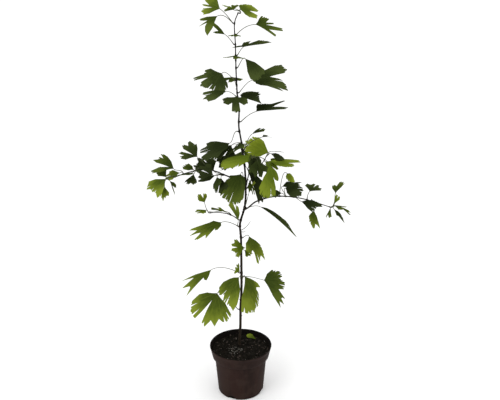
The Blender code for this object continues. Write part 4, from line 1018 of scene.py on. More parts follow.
def strewn(name, shape, count, least, most, flatness, sink, middle=(0.0, 0.0), reach=None):
    """Copies of a shape strewn over the compost, each of a random size."""
    matrices = []
    for _ in range(count):
        x, y = soil_spot(middle, reach)
        size = dice.uniform(least, most)
        spot = (x, y, soil_level(x, y) + size * flatness * (1 - sink))
        turn = (dice.uniform(-TIP, TIP), dice.uniform(-TIP, TIP), dice.uniform(0, math.tau))
        sizes = (size, size * dice.uniform(0.6, 1.0), size * flatness)
        matrices.append(placed(spot, turn, sizes))
    return copies(name, shape, matrices)


# %% Crumbs, fibres and grit
CRUMBS, BARK_BITS, FIBRES, GRIT, HEAPED_GRIT = 900, 90, 70, 30, 44
GRIT_MIDDLE = (-0.018, -0.018)
GRIT_REACH = 24 * MM
GRIT_SHARP = 40            # degrees
FIBRE_RADIUS = 0.35 * MM
crumbs = strewn("compost_crumbs", chip("crumb", 1, 0.7, 3.0),
                CRUMBS, 0.7 * MM, 2.6 * MM, 0.7, 0.4)
bark_bits = strewn("bark_bits", chip("bark_bit", 1, 0.9, 8.0),
                   BARK_BITS, 1.5 * MM, 4.0 * MM, 0.28, 0.2)
fibres = []
for _ in range(FIBRES):
    x, y = soil_spot()
    length = dice.uniform(3, 11) * MM
    turn = (0, dice.uniform(-0.25, 0.25), dice.uniform(0, math.tau))
    spot = (x, y, soil_level(x, y) + 0.5 * MM)
    fibres.append(placed(spot, turn, (length / 2, FIBRE_RADIUS, FIBRE_RADIUS)))
fibre_bits = copies("fibre_bits", chip("fibre", 1, 0.5, 5.0), fibres)
grit = strewn("grit_grains", chip("grain", 2, 0.35, 1.0),
              GRIT, 0.4 * MM, 1.1 * MM, 0.8, 0.3)
grit_heap = strewn("grit_heap", chip("grain", 2, 0.35, 2.0),
                   HEAPED_GRIT, 0.5 * MM, 1.3 * MM, 0.8, 0.3, GRIT_MIDDLE, GRIT_REACH)
print("crumbs, bits, fibres and grains:", CRUMBS + BARK_BITS + FIBRES + GRIT + HEAPED_GRIT)

# %% [markdown]
# ### Their materials
#
# Wet peat is nearly black and quite dull. Bits of bark and fibres are brown and have a
# grain, and grit is pale under its dust. The shared patterns serve here too, at the
# scale of a crumb: a few hundred patches to a metre.

# %% Give the compost and its litter their materials
peat = patterned("compost", (0.0060, 0.0053, 0.0038), 0.95, mottle, 0.05, (0.6, 0.8 * MM),
                 Base_Color=(0.0050, 0.0046, 0.0034, 1),
                 Second_Color=(0.013, 0.010, 0.007, 1), Scale=260.0, Amount=0.8)
brown_bits = patterned("bark_bits", (0.045, 0.026, 0.015), 0.9, streaks,
                       Base_Color=(0.036, 0.022, 0.013, 1),
                       Second_Color=(0.012, 0.008, 0.006, 1), Scale=420.0, Amount=0.8)
pale = patterned("grit", (0.34, 0.33, 0.29), 0.85, mottle,
                 Base_Color=(0.36, 0.35, 0.31, 1),
                 Second_Color=(0.13, 0.11, 0.09, 1), Scale=900.0, Amount=0.6)
for piece in (compost, crumbs):
    wear(piece, peat)
for piece in (bark_bits, fibre_bits):
    wear(piece, brown_bits)
for piece in (grit, grit_heap):
    shade(piece, GRIT_SHARP)
    wear(piece, pale)
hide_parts("soil")
print("litter faces:", sum(len(piece.data.polygons) for piece in (crumbs, bark_bits, fibre_bits)))

# %% [markdown]
# ## The stem and the boughs
#
# A limb is a round line that tapers, so a curve with a bevel is the plain way to make
# it: each point has its own radius. It is then turned into a mesh, so that its skin
# can be moved. Noise that is drawn out along the stem raises the long ridges of young
# bark, and a swelling marks each node where a leaf or a bough leaves it.

# %% Round lines


def round_lines(name, lines, sides):
    """One mesh of closed tubes, one along each line of (points, radii)."""
    bpy.ops.curve.primitive_bezier_curve_add()
    guide = bpy.context.active_object
    guide.name = name
    guide.data.splines.clear()
    guide.data.dimensions = "3D"
    guide.data.bevel_depth = 1.0
    guide.data.bevel_resolution = (sides - 4) // 2
    guide.data.use_fill_caps = True
    for points, radii in lines:
        line = guide.data.splines.new("POLY")
        line.points.add(len(points) - 1)
        for spot, place, radius in zip(line.points, points, radii):
            spot.co = (*place, 1.0)
            spot.radius = radius
    bpy.ops.object.convert(target="MESH")
    bpy.ops.object.mode_set(mode="EDIT")
    bpy.ops.mesh.select_all(action="SELECT")
    bpy.ops.mesh.remove_doubles(threshold=0.001 * MM)
    bpy.ops.mesh.normals_make_consistent(inside=False)
    bpy.ops.object.mode_set(mode="OBJECT")
    piece = bpy.context.active_object
    piece.name = piece.data.name = name
    return piece


# %% Grow the stem
STEM_STEPS = 20
BOUGH_STEPS = 14
NODE_SWELLING = 0.9 * MM
NODE_LENGTH = 3.5 * MM
RIDGE = 0.22 * MM
GRAIN = 0.07 * MM
RIDGES = (430, 430, 40)    # to a metre, across and along
GRAINS = (1500, 1500, 420)


def nodes_on(limb_name):
    """The spots on a limb where its sprays and boughs leave it."""
    limb = limbs[limb_name]
    spots = []
    for spray in SPRAYS.values():
        if spray.limb == limb_name:
            spots.append(limb_at(limb, place_on(limb_name, limb, spray.place))[0])
    if limb_name == "stem":
        spots += [limb_at(limb, stem_share(limb, bough.height))[0] for bough in BOUGHS.values()]
    return spots


def grown(limb_name, steps):
    """A limb's line refined for its mesh, with a swelling at each node."""
    limb = limbs[limb_name]
    points = smooth(limb.points, steps)
    radii = spread(limb.radii, steps)
    spots = nodes_on(limb_name)
    for index, point in enumerate(points):
        near = min((point - spot).length for spot in spots)
        radii[index] += NODE_SWELLING * math.exp(-(near / NODE_LENGTH) ** 2)
    return points, radii


def noise_at(spot, scales):
    """Noise at a spot, with its own scale along each axis."""
    return noise.noise(Vector([value * scale for value, scale in zip(spot, scales)]))


def raise_bark(piece, ridge, grain):
    """Moves the skin in and out by noise that is drawn out along the stem."""
    piece.data.update()
    for spot in piece.data.vertices:
        ridges = noise_at(spot.co, RIDGES)
        grains = noise_at(spot.co, GRAINS)
        spot.co += spot.normal * (ridge * ridges + grain * grains)
    piece.data.update()


trunk = round_lines("trunk", [grown("stem", STEM_STEPS)], 24)
raise_bark(trunk, RIDGE, GRAIN)
shade(trunk, ROUNDED)
print("trunk faces:", len(trunk.data.polygons))

# %% Grow the boughs
COLLAR_INSET = 2.6 * MM    # how far a bough's foot reaches into the stem
COLLAR_FEET = (1.45, 1.4)  # the two rings in there, as shares of the bough's radius
COLLAR_STEPS = 12
COLLAR_SWELLING = 0.38

bough_lines = []
for name in BOUGHS:
    points, radii = grown(name, BOUGH_STEPS)
    inward = (points[0] - points[3]).normalized() * COLLAR_INSET
    points = [points[0] + inward, points[0] + inward * 0.5] + points
    radii = [radii[0] * share for share in COLLAR_FEET] + radii
    for step in range(COLLAR_STEPS):
        radii[step + 2] *= 1.0 + COLLAR_SWELLING * math.exp(-step / 4)
    bough_lines.append((points, radii))
branches = round_lines("boughs", bough_lines, 16)
raise_bark(branches, RIDGE * 0.7, GRAIN)
shade(branches, ROUNDED)
print("bough faces:", len(branches.data.polygons))

# %% [markdown]
# ### Its bark
#
# The bark is dark brown at the foot, and nearly black with a green cast at the top,
# where the wood is this year's. The height on the Object coordinates drives that
# change. Streaks follow the grain, and small pale dashes are the pores of young bark.
# A picture of bark would need a seam down the stem, so all of it is drawn by nodes.

# %% The bark's material
OLD_BARK = (0.024, 0.017, 0.011, 1)
YOUNG_BARK = (0.008, 0.008, 0.005, 1)
GROOVE = (0.45, 0.42, 0.40, 1)        # what a groove does to the bark's colour
PORE = (0.070, 0.058, 0.042, 1)
PORES = (260.0, 260.0, 620.0)         # to a metre, across and along
bark, bark_shader = new_material("bark", (0.024, 0.018, 0.012), 0.75, 0.1)
tree = bark.node_tree
place = put(tree, "ShaderNodeTexCoord").outputs["Object"]
height = put(tree, "ShaderNodeSeparateXYZ", Vector=place).outputs["Z"]
wood = mixed(tree, ranged(tree, height, 0.35, 0.95), OLD_BARK, YOUNG_BARK)
deep = mixed(tree, 1.0, wood, GROOVE, "MULTIPLY")
ridged = use_group(bark, streaks, Base_Color=wood, Second_Color=deep, Scale=330.0, Amount=0.75)
cells = put(tree, "ShaderNodeMapping", Vector=place, Scale=PORES)
pores = put(tree, "ShaderNodeTexVoronoi", Vector=cells.outputs["Vector"], Scale=1.0)
pore = ranged(tree, pores.outputs["Distance"], 0.12, 0.22, 0.7, 0.0)
feed(tree, bark_shader.inputs["Base Color"], mixed(tree, pore, ridged.outputs["Color"], PORE))
dullness = ranged(tree, ridged.outputs["Height"], 0.3, 0.7, 0.85, 0.62)
feed(tree, bark_shader.inputs["Roughness"], dullness)
add_bump(bark, bark_shader, ridged.outputs["Height"], 0.5, 0.5 * MM)
wear(trunk, bark)
wear(branches, bark)
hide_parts("stem")
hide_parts(*BOUGHS)
print("the bark has", len(tree.nodes), "nodes")

# %% [markdown]
# ## Spurs, buds and stalks
#
# Ginkgo leaves stand in tufts on short spurs, which are ringed by the scars of older
# leaves. Each leaf hangs on its own thin, bending stalk, and here and there a stalk
# has lost its leaf. All of these are round lines too, so the same tool draws them, and
# each kind is joined into one piece. The buds on the bare nodes are copies of one bud.

# %% Draw the spurs
SPUR_LENGTH = 7 * MM
SPUR_RADIUS = 1.9 * MM
SPUR_SCARS = 4
SCAR_DEPTH = 0.09          # these are shares of the spur's radius
SPUR_FOOT = 0.92
SPUR_TAPER = 0.22
SPUR_BUD = (0.78, 0.24)    # where its bud starts, and how long it is, as shares
SPUR_INSET = 1.2 * MM
SPUR_LIFT = Vector((0, 0, 0.8))
SPUR_STEPS = 12
SPUR_SHARP = 70            # degrees

Shoot = namedtuple("Shoot", "origin root tip spur_points")


def shoot_of(spray):
    """Where a spray's spur stands on its limb, and where its stalks start."""
    limb = limbs[spray.limb]
    place = place_on(spray.limb, limb, spray.place)
    origin = limb_at(limb, place)[0]
    start, outward = off_limb(limb, place, spray.heading)
    lift = (outward + SPUR_LIFT).normalized()
    middle = start + outward * SPUR_LENGTH * 0.4
    tip = start + (outward + lift) * SPUR_LENGTH * 0.5
    return Shoot(origin, middle.lerp(tip, 0.5), tip, [start, middle, tip])


def spur_line(shoot):
    """A ringed spur that swells at its foot and closes in a round bud."""
    points = smooth(shoot.spur_points, SPUR_STEPS)
    inward = (points[0] - points[2]).normalized() * SPUR_INSET
    points = [points[0] + inward] + points
    radii = []
    for index in range(len(points)):
        share = index / (len(points) - 1)
        scar = SCAR_DEPTH * math.cos(share * SPUR_SCARS * math.tau)
        body = SPUR_RADIUS * (SPUR_FOOT - SPUR_TAPER * share + scar)
        in_bud = max(0.0, share - SPUR_BUD[0]) / SPUR_BUD[1]
        radii.append(body * math.sqrt(max(0.0, 1.0 - in_bud ** 2)))
    return points, radii


shoots = {name: shoot_of(spray) for name, spray in SPRAYS.items()}
spurs = round_lines("spurs", [spur_line(shoot) for shoot in shoots.values()], 12)
shade(spurs, SPUR_SHARP)
wear(spurs, bark)
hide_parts(*SPRAYS)
print("spur faces:", len(spurs.data.polygons))

# %% Set small buds on the bare nodes
# height on the stem in metres, and the heading of the bud
BARE_NODES = (
    (0.182, 200), (0.236, 20), (0.292, 165), (0.352, 330), (0.402, 175), (0.455, 15),
    (0.506, 215), (0.573, 190), (0.625, 350), (0.706, 30), (0.752, 195), (0.803, 150),
    (0.861, 340), (0.921, 200),
)
BUD = 1.5 * MM
BUD_RISE = 25
BUD_INSET = 0.2 * MM
BUD_PROFILE = (            # radius and height, as shares of the bud's size
    (0.9, -0.3), (1.0, 0.1), (0.86, 0.5), (0.9, 0.62),
    (0.68, 1.05), (0.7, 1.15), (0.38, 1.55), (0.1, 1.75),
)

bud_shape = template(drawn("bud", BUD_PROFILE, 10))
bud_places = []
for height, heading in BARE_NODES:
    centre, _, radius = limb_at(stem, stem_share(stem, height))
    outward = direction(heading, BUD_RISE).normalized()
    spot = centre + outward * (radius - BUD_INSET)
    turn = outward.to_track_quat("Z", "Y")
    bud_places.append(Matrix.LocRotScale(spot, turn, Vector((BUD, BUD, BUD))))
buds = copies("buds", bud_shape, bud_places)
shade(buds, ROUNDED)
wear(buds, bark)
print("buds:", len(BARE_NODES))

# %% The line of a stalk
STALK_RADIUS = 0.95 * MM
STALK_STEPS = 18
STALK_IN_BLADE = 9 * MM
STALK_ARCH = 25            # degrees that a stalk leaves its spur above its own rise
STALK_PULLS = (0.4, 0.3)   # how long the curve keeps its first and last direction
STALK_FLARE = 0.5
STALK_TAPER = 0.12
BLADE_STEPS = 4


def foot_of(shoot, leaf):
    """Where a leaf's stalk ends and its blade starts."""
    return shoot.origin + direction(leaf.heading, leaf.rise) * leaf.stalk * MM


def stalk_line(shoot, leaf):
    """A stalk that bows out of its spur and runs a little way into the blade."""
    foot = foot_of(shoot, leaf)
    along = direction(leaf.blade_heading, leaf.blade_rise)
    arch = (foot - shoot.root).length
    spur = (shoot.tip - shoot.root).normalized()
    out = (spur + direction(leaf.heading, leaf.rise + STALK_ARCH)).normalized()
    first, last = STALK_PULLS
    points = list(interpolate_bezier(
        shoot.root, shoot.root + out * arch * first, foot - along * arch * last, foot,
        STALK_STEPS))
    radii = []
    for step in range(STALK_STEPS):
        share = step / (STALK_STEPS - 1)
        flare = STALK_FLARE * (1 - share) ** 6
        radii.append(STALK_RADIUS * (1.0 + flare - STALK_TAPER * share))
    for step in range(1, BLADE_STEPS + 1):
        points.append(foot + along * STALK_IN_BLADE * step / BLADE_STEPS)
        radii.append(STALK_RADIUS * (1 - STALK_TAPER) * (1 - 0.2 * step))
    return points, radii


# %% Draw the stalks
# height on the stem, heading, rise and length
BARE_STALKS = ((0.518, 12, 42, 38 * MM), (0.514, 350, 4, 13 * MM), (0.886, 20, 48, 17 * MM))
BARE_STEPS = 10


def bare_line(height, heading, rise, length):
    """A dry stalk that stands off the stem and bends up a little."""
    centre, _, radius = limb_at(stem, stem_share(stem, height))
    foot = centre + direction(heading, 0) * radius * 0.6
    bend = foot + direction(heading, rise - 25) * length / 2
    tip = foot + direction(heading, rise) * length
    points = list(interpolate_bezier(foot, bend, tip, tip, BARE_STEPS))
    return points, [STALK_RADIUS * (1.1 - 0.06 * step) for step in range(BARE_STEPS)]


stalk_lines = [
    stalk_line(shoots[name], leaf) for name, spray in SPRAYS.items() for leaf in spray.leaves]
stalk_lines += [bare_line(*bare) for bare in BARE_STALKS]
stalks = round_lines("stalks", stalk_lines, 8)
shade(stalks, ROUNDED)
green_stalk = patterned("stalk", (0.050, 0.058, 0.026), 0.6, mottle, 0.1,
                        Base_Color=(0.046, 0.056, 0.022, 1),
                        Second_Color=(0.080, 0.074, 0.044, 1), Scale=60.0, Amount=0.6)
wear(stalks, green_stalk)
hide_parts(*SPRAYS)
print("stalks:", len(stalk_lines), "faces:", len(stalks.data.polygons))

# %% [markdown]
# ## The leaves
#
# A ginkgo leaf is a fan. Its veins start at the foot and fork their way out to an
# uneven, toothed margin, and one or more deep cuts part it into lobes. It could be a
# picture on a card, but a card's edge is flat and its cuts are painted. So each leaf
# is a net of columns and rings. The columns run along the veins. The rings are round
# near the foot and take on the outline towards the margin. Each leaf draws its own
# teeth from its own dice, and there is a skin above and a skin below, with a thin rim.

# %% The outline of a leaf
TOOTH = (0.060, 0.130)     # a tooth's width, as a share of the blade's reach
NICK_DEPTH = (0.035, 0.110)
NICK_WIDTH = (0.22, 0.46)  # as a share of a tooth's width
DEEP_NICK_EVERY = 4
DEEP_NICK = 2.2
COLUMN_WIDTH = 1.1 * MM
SIDE_STEP = 3.0 * MM
LOBE_BULGE = 0.10
STEEP = 0.72               # a stretch steeper than this is the side of a cut
CUT_SHARE = 0.75           # a corner below this share of its neighbours is a cut's foot


def spot_of(corner, reach):
    """A corner's place in the leaf's own plane, in metres."""
    angle, share = corner
    return Vector((math.cos(math.radians(angle)), math.sin(math.radians(angle)))) * share * reach


def cut_side(start, end):
    """Steps down or up the plain side of a cut."""
    steps = max(2, round((end - start).length / SIDE_STEP))
    return [start.lerp(end, step / steps) for step in range(steps)]


def nick_at(along, bound, depth, wide):
    """How deep one pointed nick is at a place along the margin."""
    return depth * max(0.0, 1 - abs(along - bound) / wide)


def toothed_side(start, end, reach, dice):
    """Steps along the outer margin between two corners, with pointed teeth."""
    length = (end - start).length
    bounds = [0.0]
    while bounds[-1] < length:
        bounds.append(bounds[-1] + reach * dice.uniform(*TOOTH))
    bounds = [bound * length / bounds[-1] for bound in bounds]
    nicks = []
    for before, bound in zip(bounds, bounds[1:-1]):
        depth = reach * dice.uniform(*NICK_DEPTH)
        depth *= DEEP_NICK if dice.randrange(DEEP_NICK_EVERY) == 0 else 1
        nicks.append((bound, depth, (bound - before) * dice.uniform(*NICK_WIDTH)))
    steps = max(3, round(length / COLUMN_WIDTH))
    spots = []
    for step in range(steps):
        along = length * step / steps
        bulge = LOBE_BULGE * along * (length - along) / length
        deepest = max((nick_at(along, *nick) for nick in nicks), default=0)
        spot = start.lerp(end, step / steps)
        spots.append(spot * (1 + (bulge - deepest) / spot.length))
    return spots


# %% The whole margin


def outline_of(corners, reach, dice):
    """The whole margin as (angle, out) from one side edge to the other."""
    spots = []
    for first, last in zip(corners, corners[1:]):
        start, end = spot_of(first, reach), spot_of(last, reach)
        steep = abs(end.length - start.length) / (end - start).length
        spots += cut_side(start, end) if steep > STEEP else toothed_side(start, end, reach, dice)
    spots.append(spot_of(corners[-1], reach))
    columns = [(math.atan2(spot.y, spot.x), spot.length / reach) for spot in spots]
    while len(columns) % 4 != 1:
        gaps = [after[0] - before[0] for before, after in zip(columns, columns[1:])]
        widest = gaps.index(max(gaps))
        before, after = columns[widest], columns[widest + 1]
        columns.insert(widest + 1, ((before[0] + after[0]) / 2, (before[1] + after[1]) / 2))
    return columns


def cuts_of(corners):
    """The angles of the deep cuts that part a blade into lobes."""
    return [math.radians(at[0]) for before, at, after in zip(corners, corners[1:], corners[2:])
            if at[1] < CUT_SHARE * min(before[1], after[1])]


# %% The bends of a blade
CUT_EASE = 0.12            # radians over which one lobe's lift turns into the next
DROOP = (0.04, 0.12)       # these four are shares of the blade's reach
CUP = (-0.10, 0.10)
LOBE_LIFT = (-0.05, 0.05)
WAVE_HEIGHT = (0.006, 0.016)
WAVES_ACROSS = (3, 9)
WAVES = 3
Bends = namedtuple("Bends", "droop cup cuts lifts waves")


def bends_of(corners, seed, fine):
    """How a blade droops, cups, lifts its lobes and ruffles."""
    dice = random.Random(seed)
    droop = dice.uniform(*DROOP)
    cup = dice.uniform(*CUP)
    cuts = cuts_of(corners)
    lifts = [fine.uniform(*LOBE_LIFT) for _ in range(len(cuts) + 1)]
    waves = []
    for _ in range(WAVES):
        count, start = fine.uniform(*WAVES_ACROSS), fine.uniform(0, math.tau)
        waves.append((count, start, fine.uniform(*WAVE_HEIGHT)))
    return Bends(droop, cup, cuts, lifts, waves)


def offset_of(bends, turn, place, out):
    """How far the blade stands off its plane at a spot, as a share of its reach."""
    lift = bends.lifts[0]
    for cut, after in zip(bends.cuts, bends.lifts[1:]):
        share = min(1.0, max(0.0, (turn - cut) / CUT_EASE + 0.5))
        lift += (after - lift) * share
    offset = -bends.droop * out ** 2 + bends.cup * out * place ** 2 + lift * out ** 2
    return offset + sum(high * out ** 3 * math.sin(count * place + start)
                        for count, start, high in bends.waves)


def axes_of(leaf):
    """The directions along a leaf's plane, across it and off it."""
    along = direction(leaf.blade_heading, leaf.blade_rise)
    level = along.cross(Vector((0, 0, 1))).normalized()
    up = level.cross(along)
    roll = math.radians(leaf.roll)
    side = level * math.cos(roll) + up * math.sin(roll)
    return along, side, side.cross(along)


# %% The net of a blade
BLADE_HALF_THICK = 0.21 * MM
PLEAT = 0.05 * MM
SIDE_TUCK = 0.16           # how much narrower the fan is at its foot
OUTER_RINGS = 9
ROUND_PART = 0.85          # how far the round rings go, as a share of the least reach
Blade = namedtuple("Blade", "points uvs flats faces sides")


def rings_of(inner):
    """Each ring's share of the circle, share of the way to the margin, and stride."""
    rings = [(0.35, 0.0, 4), (0.68, 0.0, 2), (1.0, 0.0, 1)]
    count = max(3, round(OUTER_RINGS * (1 - inner)))
    return rings + [(1.0, (step / count) ** 0.9, 1) for step in range(1, count + 1)]


def edge_of(tip, rings, last):
    """The points round one skin: out along one side, round the margin, and back."""
    margin = [rings[-1][index] for index in range(1, last + 1)]
    back = [ring[last] for ring in reversed(rings[:-1])]
    return [tip] + [ring[0] for ring in rings] + margin + back


def blade_of(leaf, foot, seed):
    """A leaf blade's points, maps and faces, for both skins and the rim."""
    corners = FORMS[leaf.form]
    widest = math.radians(max(abs(corners[0][0]), abs(corners[-1][0])))
    reach = leaf.reach * MM
    fine = random.Random("fine " + seed)
    columns = outline_of(corners, reach, fine)
    bends = bends_of(corners, seed, fine)
    vein_shift = fine.uniform(0, 90)
    along, across, face = axes_of(leaf)
    inner = ROUND_PART * min(out for _, out in columns)
    last = len(columns) - 1
    points, uvs, flats, faces, sides, edges = [], [], [], [], [], []

    def add(index, circle, way, skin):
        """Adds the point of one column and ring on one skin, and gives its number."""
        turn, edge = columns[index]
        out = inner * circle + (edge - inner) * way
        angle = turn * (1 - SIDE_TUCK * max(0.0, 1 - out) ** 2)
        offset = offset_of(bends, turn, turn / widest, out)
        pleat = PLEAT * (1 if index % 2 else -1) * min(1.0, 2 * way)
        x, y = out * math.cos(angle), out * math.sin(angle)
        lift = face * (pleat + skin * BLADE_HALF_THICK)
        points.append(foot + reach * (along * x + across * y + face * offset) + lift)
        uvs.append((angle + vein_shift, out))
        flats.append((x, y))
        return len(points) - 1

    for skin in (1, -1):
        tip = add(0, 0.0, 0.0, skin)
        rings, before, step = [], {}, 0
        for circle, way, stride in rings_of(inner):
            ring = {index: add(index, circle, way, skin) for index in range(0, last + 1, stride)}
            step = step or stride
            for index in range(0, last, step):
                near = [before[index + step], before[index]] if before else [tip]
                far = [ring[number] for number in range(index, index + step + 1, stride)]
                faces.append(tuple(near + far if skin > 0 else reversed(near + far)))
                sides.append(0 if skin > 0 else 1)
            rings.append(ring)
            before, step = ring, stride
        edges.append(edge_of(tip, rings, last))
    loop = list(zip(*edges))
    for (above, below), (next_above, next_below) in zip(loop, loop[1:] + loop[:1]):
        faces.append((above, below, next_below, next_above))
        sides.append(1)
    return Blade(points, uvs, flats, faces, sides)


sample = blade_of(Leaf(0, 0, 10, 0, 0, 0, 70, "fan", "mid"), Vector((0, 0, 0)), "sample")
print("a leaf has", len(sample.points), "points and", len(sample.faces), "faces")

# %% [markdown]
# ### The skin of a leaf
#
# The upper side is darker near the foot and yellower along the margin. That is partly
# the leaf's own colour, partly painted shade near the foot, which lies in the shade
# nearer the stem, and partly painted light along the margin, where light shines through
# the thin blade. Fine veins run out like the ribs of a fan and fork as they go. The
# pattern reads the leaf's own map, where one axis is the angle across the fan and the
# other is the way out. A flat picture of veins would stretch where the fan widens. The
# under side is a little paler and duller. A leaf's tone is three plain colours: its
# foot's, its margin's, its veins'.

# %% The shared leaf pattern
VEINS_NEAR = 30.0          # to a radian
VEINS_FAR = 75.0
VEIN_STRETCH = 1.6
FORKING = (0.25, 0.7)      # where the veins fork, as shares of the way out
RAGGED = 0.5               # how far the two colours run into each other


def make_leaf_skin():
    """Foot colour to margin colour, with fine veins that run out along the fan."""
    tree, given, made = new_group(
        "Leaf skin",
        {"Foot Color": "colour", "Margin Color": "colour", "Vein Color": "colour",
         "Vein Amount": "value"},
        {"Color": "colour", "Height": "value"})
    spot = put(tree, "ShaderNodeUVMap", {"uv_map": "blade"})
    parts = put(tree, "ShaderNodeSeparateXYZ", Vector=spot.outputs["UV"])
    across, out = parts.outputs["X"], parts.outputs["Y"]
    lines = []
    for count in (VEINS_NEAR, VEINS_FAR):
        turned = put(tree, "ShaderNodeCombineXYZ", X=sum_of(tree, "MULTIPLY", across, count),
                     Y=sum_of(tree, "MULTIPLY", out, VEIN_STRETCH))
        line = put(tree, "ShaderNodeTexNoise", Vector=turned.outputs["Vector"],
                   Scale=1.0, Detail=2.0, Roughness=0.5)
        lines.append(line.outputs["Fac"])
    far = ranged(tree, out, *FORKING)
    blend = put(tree, "ShaderNodeMix", {"data_type": "FLOAT"})
    for index, value in zip(VALUE_MIX, (far, *lines)):
        feed(tree, blend.inputs[index], value)
    vein = ranged(tree, blend.outputs[VALUE_MIXED], 0.50, 0.66)
    vein_share = sum_of(tree, "MULTIPLY", vein, given.outputs["Vein Amount"])
    wander = put(tree, "ShaderNodeTexNoise", Vector=spot.outputs["UV"], Scale=5.0, Detail=3.0)
    sway = sum_of(tree, "SUBTRACT", wander.outputs["Fac"], 0.5)
    ragged = sum_of(tree, "ADD", out, sum_of(tree, "MULTIPLY", sway, RAGGED))
    # partly painted shade and light: the darker foot colour stands partly for shade near the
    # stem, the lighter margin colour partly for light through the blade
    fade = ranged(tree, ragged, 0.30, 1.02)
    ground = mixed(tree, fade, given.outputs["Foot Color"], given.outputs["Margin Color"])
    feed(tree, made.inputs["Color"], mixed(tree, vein_share, ground, given.outputs["Vein Color"]))
    feed(tree, made.inputs["Height"], blend.outputs[VALUE_MIXED])
    return tree


leaf_skin = make_leaf_skin()
print("the leaf pattern has", len(leaf_skin.nodes), "nodes")

# %% The tones
Tone = namedtuple("Tone", "foot margin vein")


def rgb(red, green, blue):
    """A linear colour from its everyday screen values, 0 to 255."""
    return tuple(((value / 255 + 0.055) / 1.055) ** 2.4 for value in (red, green, blue)) + (1.0,)


# painted shade and light: a tone holds a leaf's own green and also how lit it looks, so the dark
# and deep tones are partly painted shade for leaves in shade, and the olive, fresh and bright
# tones partly painted light for leaves in full light
TONES = {
    "dark": Tone(rgb(32, 39, 19), rgb(48, 56, 29), rgb(58, 66, 37)),
    "deep": Tone(rgb(40, 49, 22), rgb(64, 74, 36), rgb(74, 84, 44)),
    "mid": Tone(rgb(50, 62, 22), rgb(78, 90, 33), rgb(88, 100, 42)),
    "olive": Tone(rgb(64, 78, 24), rgb(116, 129, 42), rgb(120, 133, 52)),
    "fresh": Tone(rgb(78, 94, 25), rgb(112, 126, 38), rgb(122, 136, 48)),
    "bright": Tone(rgb(90, 105, 25), rgb(128, 141, 42), rgb(140, 153, 56)),
}
UNDER_SIDE = rgb(132, 144, 96)
UNDER_SHARE = 0.02         # how much of it an under side takes on


def under(colour):
    """A colour of the upper side, made paler for the under side."""
    return (*[value + UNDER_SHARE * pale for value, pale in zip(colour[:3], UNDER_SIDE)], 1.0)


def leaf_materials(label, tone):
    """The upper and the under material of one tone."""
    above = patterned("leaf_" + label, tone.margin[:3], 0.5, leaf_skin, 0.0, (0.35, 0.15 * MM),
                      Foot_Color=tone.foot, Margin_Color=tone.margin,
                      Vein_Color=tone.vein, Vein_Amount=0.35)
    margin = under(tone.margin)
    below = patterned("leaf_" + label + "_under", margin[:3], 0.7, leaf_skin, 0.0,
                      (0.5, 0.2 * MM), Foot_Color=under(tone.foot), Margin_Color=margin,
                      Vein_Color=margin, Vein_Amount=0.5)
    return above, below


# %% Join the leaves of each tone
CELL_MARGIN = 0.04
LEAF_SHARP = 48            # degrees: a leaf's rim stays sharp, its pleats don't


def leaf_piece(name, blades, above, below):
    """All the blades in one mesh, with the leaf map and a map of one cell to a skin."""
    points, faces, sides, uvs, cells = [], [], [], [], []
    grid = math.ceil(math.sqrt(2 * len(blades)))
    room = 1 - 2 * CELL_MARGIN
    for number, made in enumerate(blades):
        first = len(points)
        points += made.points
        lows = [min(flat[axis] for flat in made.flats) for axis in (0, 1)]
        spans = [max(flat[axis] for flat in made.flats) - lows[axis] for axis in (0, 1)]
        for face, side in zip(made.faces, made.sides):
            faces.append(tuple(first + index for index in face))
            sides.append(side)
            row, column = divmod(2 * number + side, grid)
            for index in face:
                uvs.append(made.uvs[index])
                right, up = [CELL_MARGIN + room * (value - low) / span
                             for value, low, span in zip(made.flats[index], lows, spans)]
                cells.append(((column + right) / grid, (row + up) / grid))
    piece = new_piece(name, points, faces)
    wear(piece, above)
    piece.data.materials.append(below)
    piece.data.polygons.foreach_set("material_index", sides)
    for label, values in (("blade", uvs), ("OFBake", cells)):
        layer = piece.data.uv_layers.new(name=label)
        layer.data.foreach_set("uv", [number for pair in values for number in pair])
    return piece


for label, tone in TONES.items():
    blades = {}
    for name, spray in SPRAYS.items():
        for number, leaf in enumerate(spray.leaves):
            if leaf.tone == label:
                foot = foot_of(shoots[name], leaf)
                blades[name, number] = blade_of(leaf, foot, f"{name} {number}")
    made = leaf_piece("leaves_" + label, list(blades.values()), *leaf_materials(label, tone))
    shade(made, LEAF_SHARP)
    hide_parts(*sorted({name for name, _ in blades}))
    print(label, "leaves:", len(blades), "faces:", len(made.data.polygons))

# %% [markdown]
# ## A fallen leaf
#
# One small leaf has dropped, and lies on the compost behind the stem. It could be a
# copy of a leaf from the tree, but a dead one curls in and is narrower. So it is made
# as the others are, from an outline of its own, and takes a tone that is there already.

# %% Lay a leaf on the compost
FORMS["curled"] = ((-24, 0.80), (-12, 0.96), (0, 1.0), (14, 0.95), (24, 0.80))
FALLEN = Leaf(0, 0, 0, 140, 12, 6, 37, "curled", "olive")
FALLEN_FOOT = (0.048, 0.052)
FALLEN_LIFT = 2.2 * MM
foot_level = soil_level(*FALLEN_FOOT) + FALLEN_LIFT
fallen_blade = blade_of(FALLEN, Vector((*FALLEN_FOOT, foot_level)), "fallen")
fallen_skins = [bpy.data.materials["leaf_olive" + side] for side in ("", "_under")]
fallen = leaf_piece("fallen_leaf", [fallen_blade], *fallen_skins)
shade(fallen, LEAF_SHARP)
print("fallen leaf faces:", len(fallen.data.polygons))

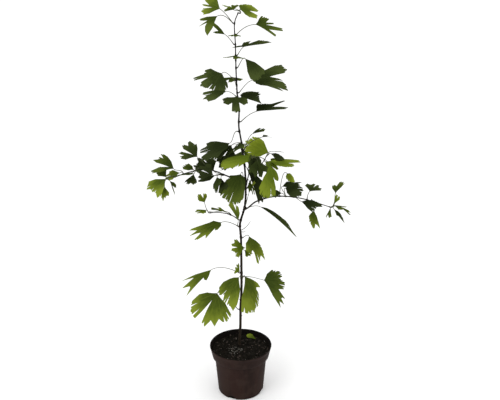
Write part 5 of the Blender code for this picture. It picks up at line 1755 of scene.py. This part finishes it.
# %% [markdown]
# ## Floor, light and camera
#
# The floor is plain and nearly white, and the light is that of a bright, even studio:
# a white surround, a broad soft lamp from the upper left, and a weak one from the
# right. One strong lamp would be simpler, but would throw a hard shadow of every leaf.

# %% Lay the floor
FLOOR_SIZE = 14.0
FLOOR_SPOT = (0, 2.0, -0.6 * MM)
WHITE = 0.97
bpy.ops.mesh.primitive_plane_add(size=FLOOR_SIZE, location=FLOOR_SPOT)
floor = bpy.context.active_object
floor.name = "floor"
floor.data.materials.append(new_material("floor_white", (WHITE, WHITE, WHITE), 0.9, 0.04)[0])
print("floor:", FLOOR_SIZE, "m")

# %% Light it
SURROUND = 1.1
KEY_POWER = 20.0           # watts
FILL_POWER = 3.0
MIDDLE = (0, 0, 0.65)
scene = bpy.context.scene
world = bpy.data.worlds.new("studio")
world.use_nodes = True
surround = world.node_tree.nodes["Background"]
surround.inputs["Color"].default_value = (1.0, 1.0, 1.0, 1.0)
surround.inputs["Strength"].default_value = SURROUND
scene.world = world
scene.view_settings.view_transform = "Standard"


def lamp(name, spot, size, power):
    """A square soft lamp at a spot, turned towards the middle of the tree."""
    turn = (Vector(MIDDLE) - Vector(spot)).to_track_quat("-Z", "Y").to_euler()
    bpy.ops.object.light_add(type="AREA", location=spot, rotation=turn)
    made = bpy.context.active_object
    made.name = name
    made.data.size = size
    made.data.energy = power
    print(name, power, "W")


lamp("key_lamp", (-1.3, -1.6, 2.6), 1.4, KEY_POWER)
lamp("fill_lamp", (1.8, -1.2, 1.5), 1.6, FILL_POWER)

# %% Set the camera
CAMERA_SPOT = (0.0287, -1.4921, 1.0244)
CAMERA_TILT = 74.5
SENSOR = 36.0
LENS = 38.99
bpy.ops.object.camera_add(location=CAMERA_SPOT, rotation=(math.radians(CAMERA_TILT), 0, 0))
camera = bpy.context.active_object
camera.data.sensor_width = SENSOR
camera.data.lens = LENS
camera.data.clip_start = 0.05
camera.data.clip_end = 50.0
scene.camera = camera
print("camera at", CAMERA_SPOT)
